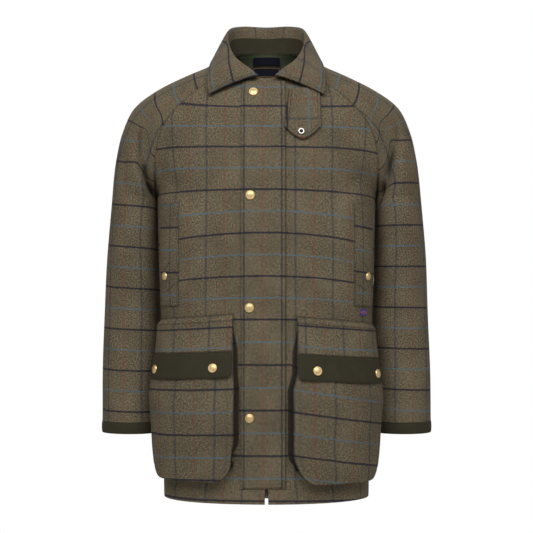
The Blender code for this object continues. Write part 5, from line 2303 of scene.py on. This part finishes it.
    def by_slot(self) -> dict[str, bpy.types.Material]:
        """Every material by its slot name.

        Returns:
            Material of each slot.
        """
        return {
            "tweed": self.tweed(),
            "moleskin": self.plain("moleskin", linear(54, 51, 38), 0.95, depth=0.0004),
            "lining": self.plain("lining", linear(92, 100, 76), 0.55, depth=0.0001),
            "brass": self.plain("brass", linear(204, 176, 128), 0.36, 1.0, 0.00004),
            "nickel": self.plain("nickel", linear(212, 210, 204), 0.24, 1.0, 0.00003),
            "zip_tape": self.plain("zip_tape", linear(30, 30, 28), 0.80),
            "label": self.label(),
            "flag": self.flag(),
            "thread": self.plain("thread", linear(46, 41, 31), 0.85, depth=0.00005),
        }


@dataclass(frozen=True)
class Studio:
    """White studio: camera at the photo's angle, pale floor and soft lights."""

    eye: Point = (0.0, -3.0, -0.371)
    lens: float = 109.5
    floor_level: float = -1.25
    floor_half: float = 2.0
    ambient: float = 0.15
    aim: Point = (0.0, 0.0, -0.37)

    def lamp(self, name: str, place: Point, size: float, watts: float) -> None:
        """A square soft light turned to the jacket's middle.

        Args:
            name: its name.
            place: where it stands.
            size: edge in metres.
            watts: power.
        """
        data = bpy.data.lights.new(name, "AREA")
        data.shape = "SQUARE"
        data.size = size
        data.energy = watts
        obj = bpy.data.objects.new(name, data)
        obj.location = place
        obj.rotation_euler = (Vector(self.aim) - Vector(place)).to_track_quat("-Z", "Y").to_euler()
        bpy.context.scene.collection.objects.link(obj)

    def build(self) -> None:
        """Camera, world, floor and lights."""
        scene = bpy.context.scene
        data = bpy.data.cameras.new("camera")
        data.lens = self.lens
        data.sensor_width = 36.0
        camera = bpy.data.objects.new("camera", data)
        camera.location = self.eye
        camera.rotation_euler = (float(np.pi / 2.0), 0.0, 0.0)
        scene.collection.objects.link(camera)
        scene.camera = camera
        world = bpy.data.worlds.new("studio")
        world.use_nodes = True
        g = Graph(world.node_tree)
        path = g.node("ShaderNodeLightPath").outputs
        seen = g.math("MAXIMUM", path["Is Camera Ray"], g.math("MULTIPLY", path["Is Glossy Ray"], 0.75))
        back = world.node_tree.nodes["Background"]
        back.inputs["Color"].default_value = (1.0, 1.0, 1.0, 1.0)
        g.feed(back.inputs["Strength"], g.math("MAXIMUM", seen, self.ambient))
        scene.world = world
        scene.view_settings.view_transform = "Standard"
        half = self.floor_half
        corners = np.array(((-half, -half), (half, -half), (half, half), (-half, half)))
        points = np.concatenate([corners, np.full((4, 1), self.floor_level)], axis=1)
        floor = Cloth.mesh("floor", points, np.array(((0, 1, 2, 3),)), corners, np.zeros(1))
        mat, _, shader = Finishes.blank("floor", 0.9)
        shader.inputs["Base Color"].default_value = (0.90, 0.90, 0.90, 1.0)
        floor.data.materials.append(mat)
        self.lamp("key", (-0.9, -2.3, 1.5), size=1.5, watts=42.0)
        self.lamp("fill", (0.9, -2.3, 1.5), size=1.5, watts=40.0)
        self.lamp("rear", (0.0, 2.4, 1.6), size=2.0, watts=40.0)


def main() -> None:
    """Build the jacket over its frame, light it and report."""
    logging.basicConfig(level=logging.INFO, format="%(name)s: %(message)s")
    wardrobe = Wardrobe(Finishes().by_slot())
    sewing = Sewing()
    neck = NeckSeam()
    block = Block(neck)
    folds = FoldField(FOLDS, block)
    front = PanelMap(block, Panel.FRONT, folds)
    back = PanelMap(block, Panel.BACK, folds)
    shell = BodyShell()
    shell.front(front, Side.RIGHT, Check(0.1085, 0.0, 0.0675), 0.04, wardrobe)
    shell.front(front, Side.LEFT, Check(0.0510, 0.0, 0.0680), 0.18, wardrobe)
    shell.back(back, Check(0.0335, 0.0), wardrobe)
    for sleeve in (
        Sleeve(Side.RIGHT, Check(0.1130, 0.0, 0.0670, 0.0762), (0.02, 0.08)),
        Sleeve(Side.LEFT, Check(0.1060, 0.0381, 0.0670, 0.0762), (-0.06, 0.03)),
    ):
        sleeve.half(block, Panel.SLEEVE_FRONT, folds, wardrobe)
        sleeve.half(block, Panel.SLEEVE_BACK, folds, wardrobe)
        sleeve.cuff(block, folds, wardrobe)
    collar = Collar(Check(0.0410, 0.0500, 0.0670, 0.0764))
    collar.build(neck, wardrobe, sewing)
    collar.stand(neck, wardrobe)
    log.info("shell, sleeves and collar: %d triangles", wardrobe.triangles)
    Placket().build(front, wardrobe, sewing)
    tab = ThroatTab()
    tab.build(front, wardrobe, sewing)
    pockets = (
        BellowsPocket(
            Side.RIGHT,
            inward=0.0,
            down=0.0,
            slant=0.052,
            bag_check=Check(0.0875, -0.5885, 0.0685, 0.0800),
            flap_check=Check(0.0990, -0.4774, 0.0670, 0.0720),
        ),
        BellowsPocket(
            Side.LEFT,
            inward=0.0045,
            down=0.0045,
            slant=0.074,
            bag_check=Check(0.0575, -0.6315, 0.0645, 0.0770),
            flap_check=Check(0.0720, -0.4700, 0.0670, 0.0740),
            bulge=0.0080,
            spread=0.0125,
            fade=-0.6900,
            tilt=0.18,
        ),
    )
    for pocket in pockets:
        pocket.bag(front, wardrobe, sewing)
        pocket.flap(front, wardrobe, sewing)
    HandFlap(Side.RIGHT, Check(0.1840, -0.3011, 0.0670, 0.0808)).build(front, wardrobe, sewing)
    HandFlap(Side.LEFT, Check(0.1840, -0.2890, 0.0670, 0.0815), sink=1.0).build(front, wardrobe, sewing)
    Fasteners().build(front, pockets, tab, wardrobe)
    NeckInside().build(front, back, wardrobe)
    wardrobe.hard(sewing.build("stitching"), "thread")
    log.info("all pieces: %d triangles", wardrobe.triangles)
    Studio().build()
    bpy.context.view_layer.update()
    for name, (width, length, area) in wardrobe.cuts.items():
        log.info("cut %s: %.3f x %.3f m, %.4f m2", name, width, length, area)


if __name__ == "__main__":
    main()
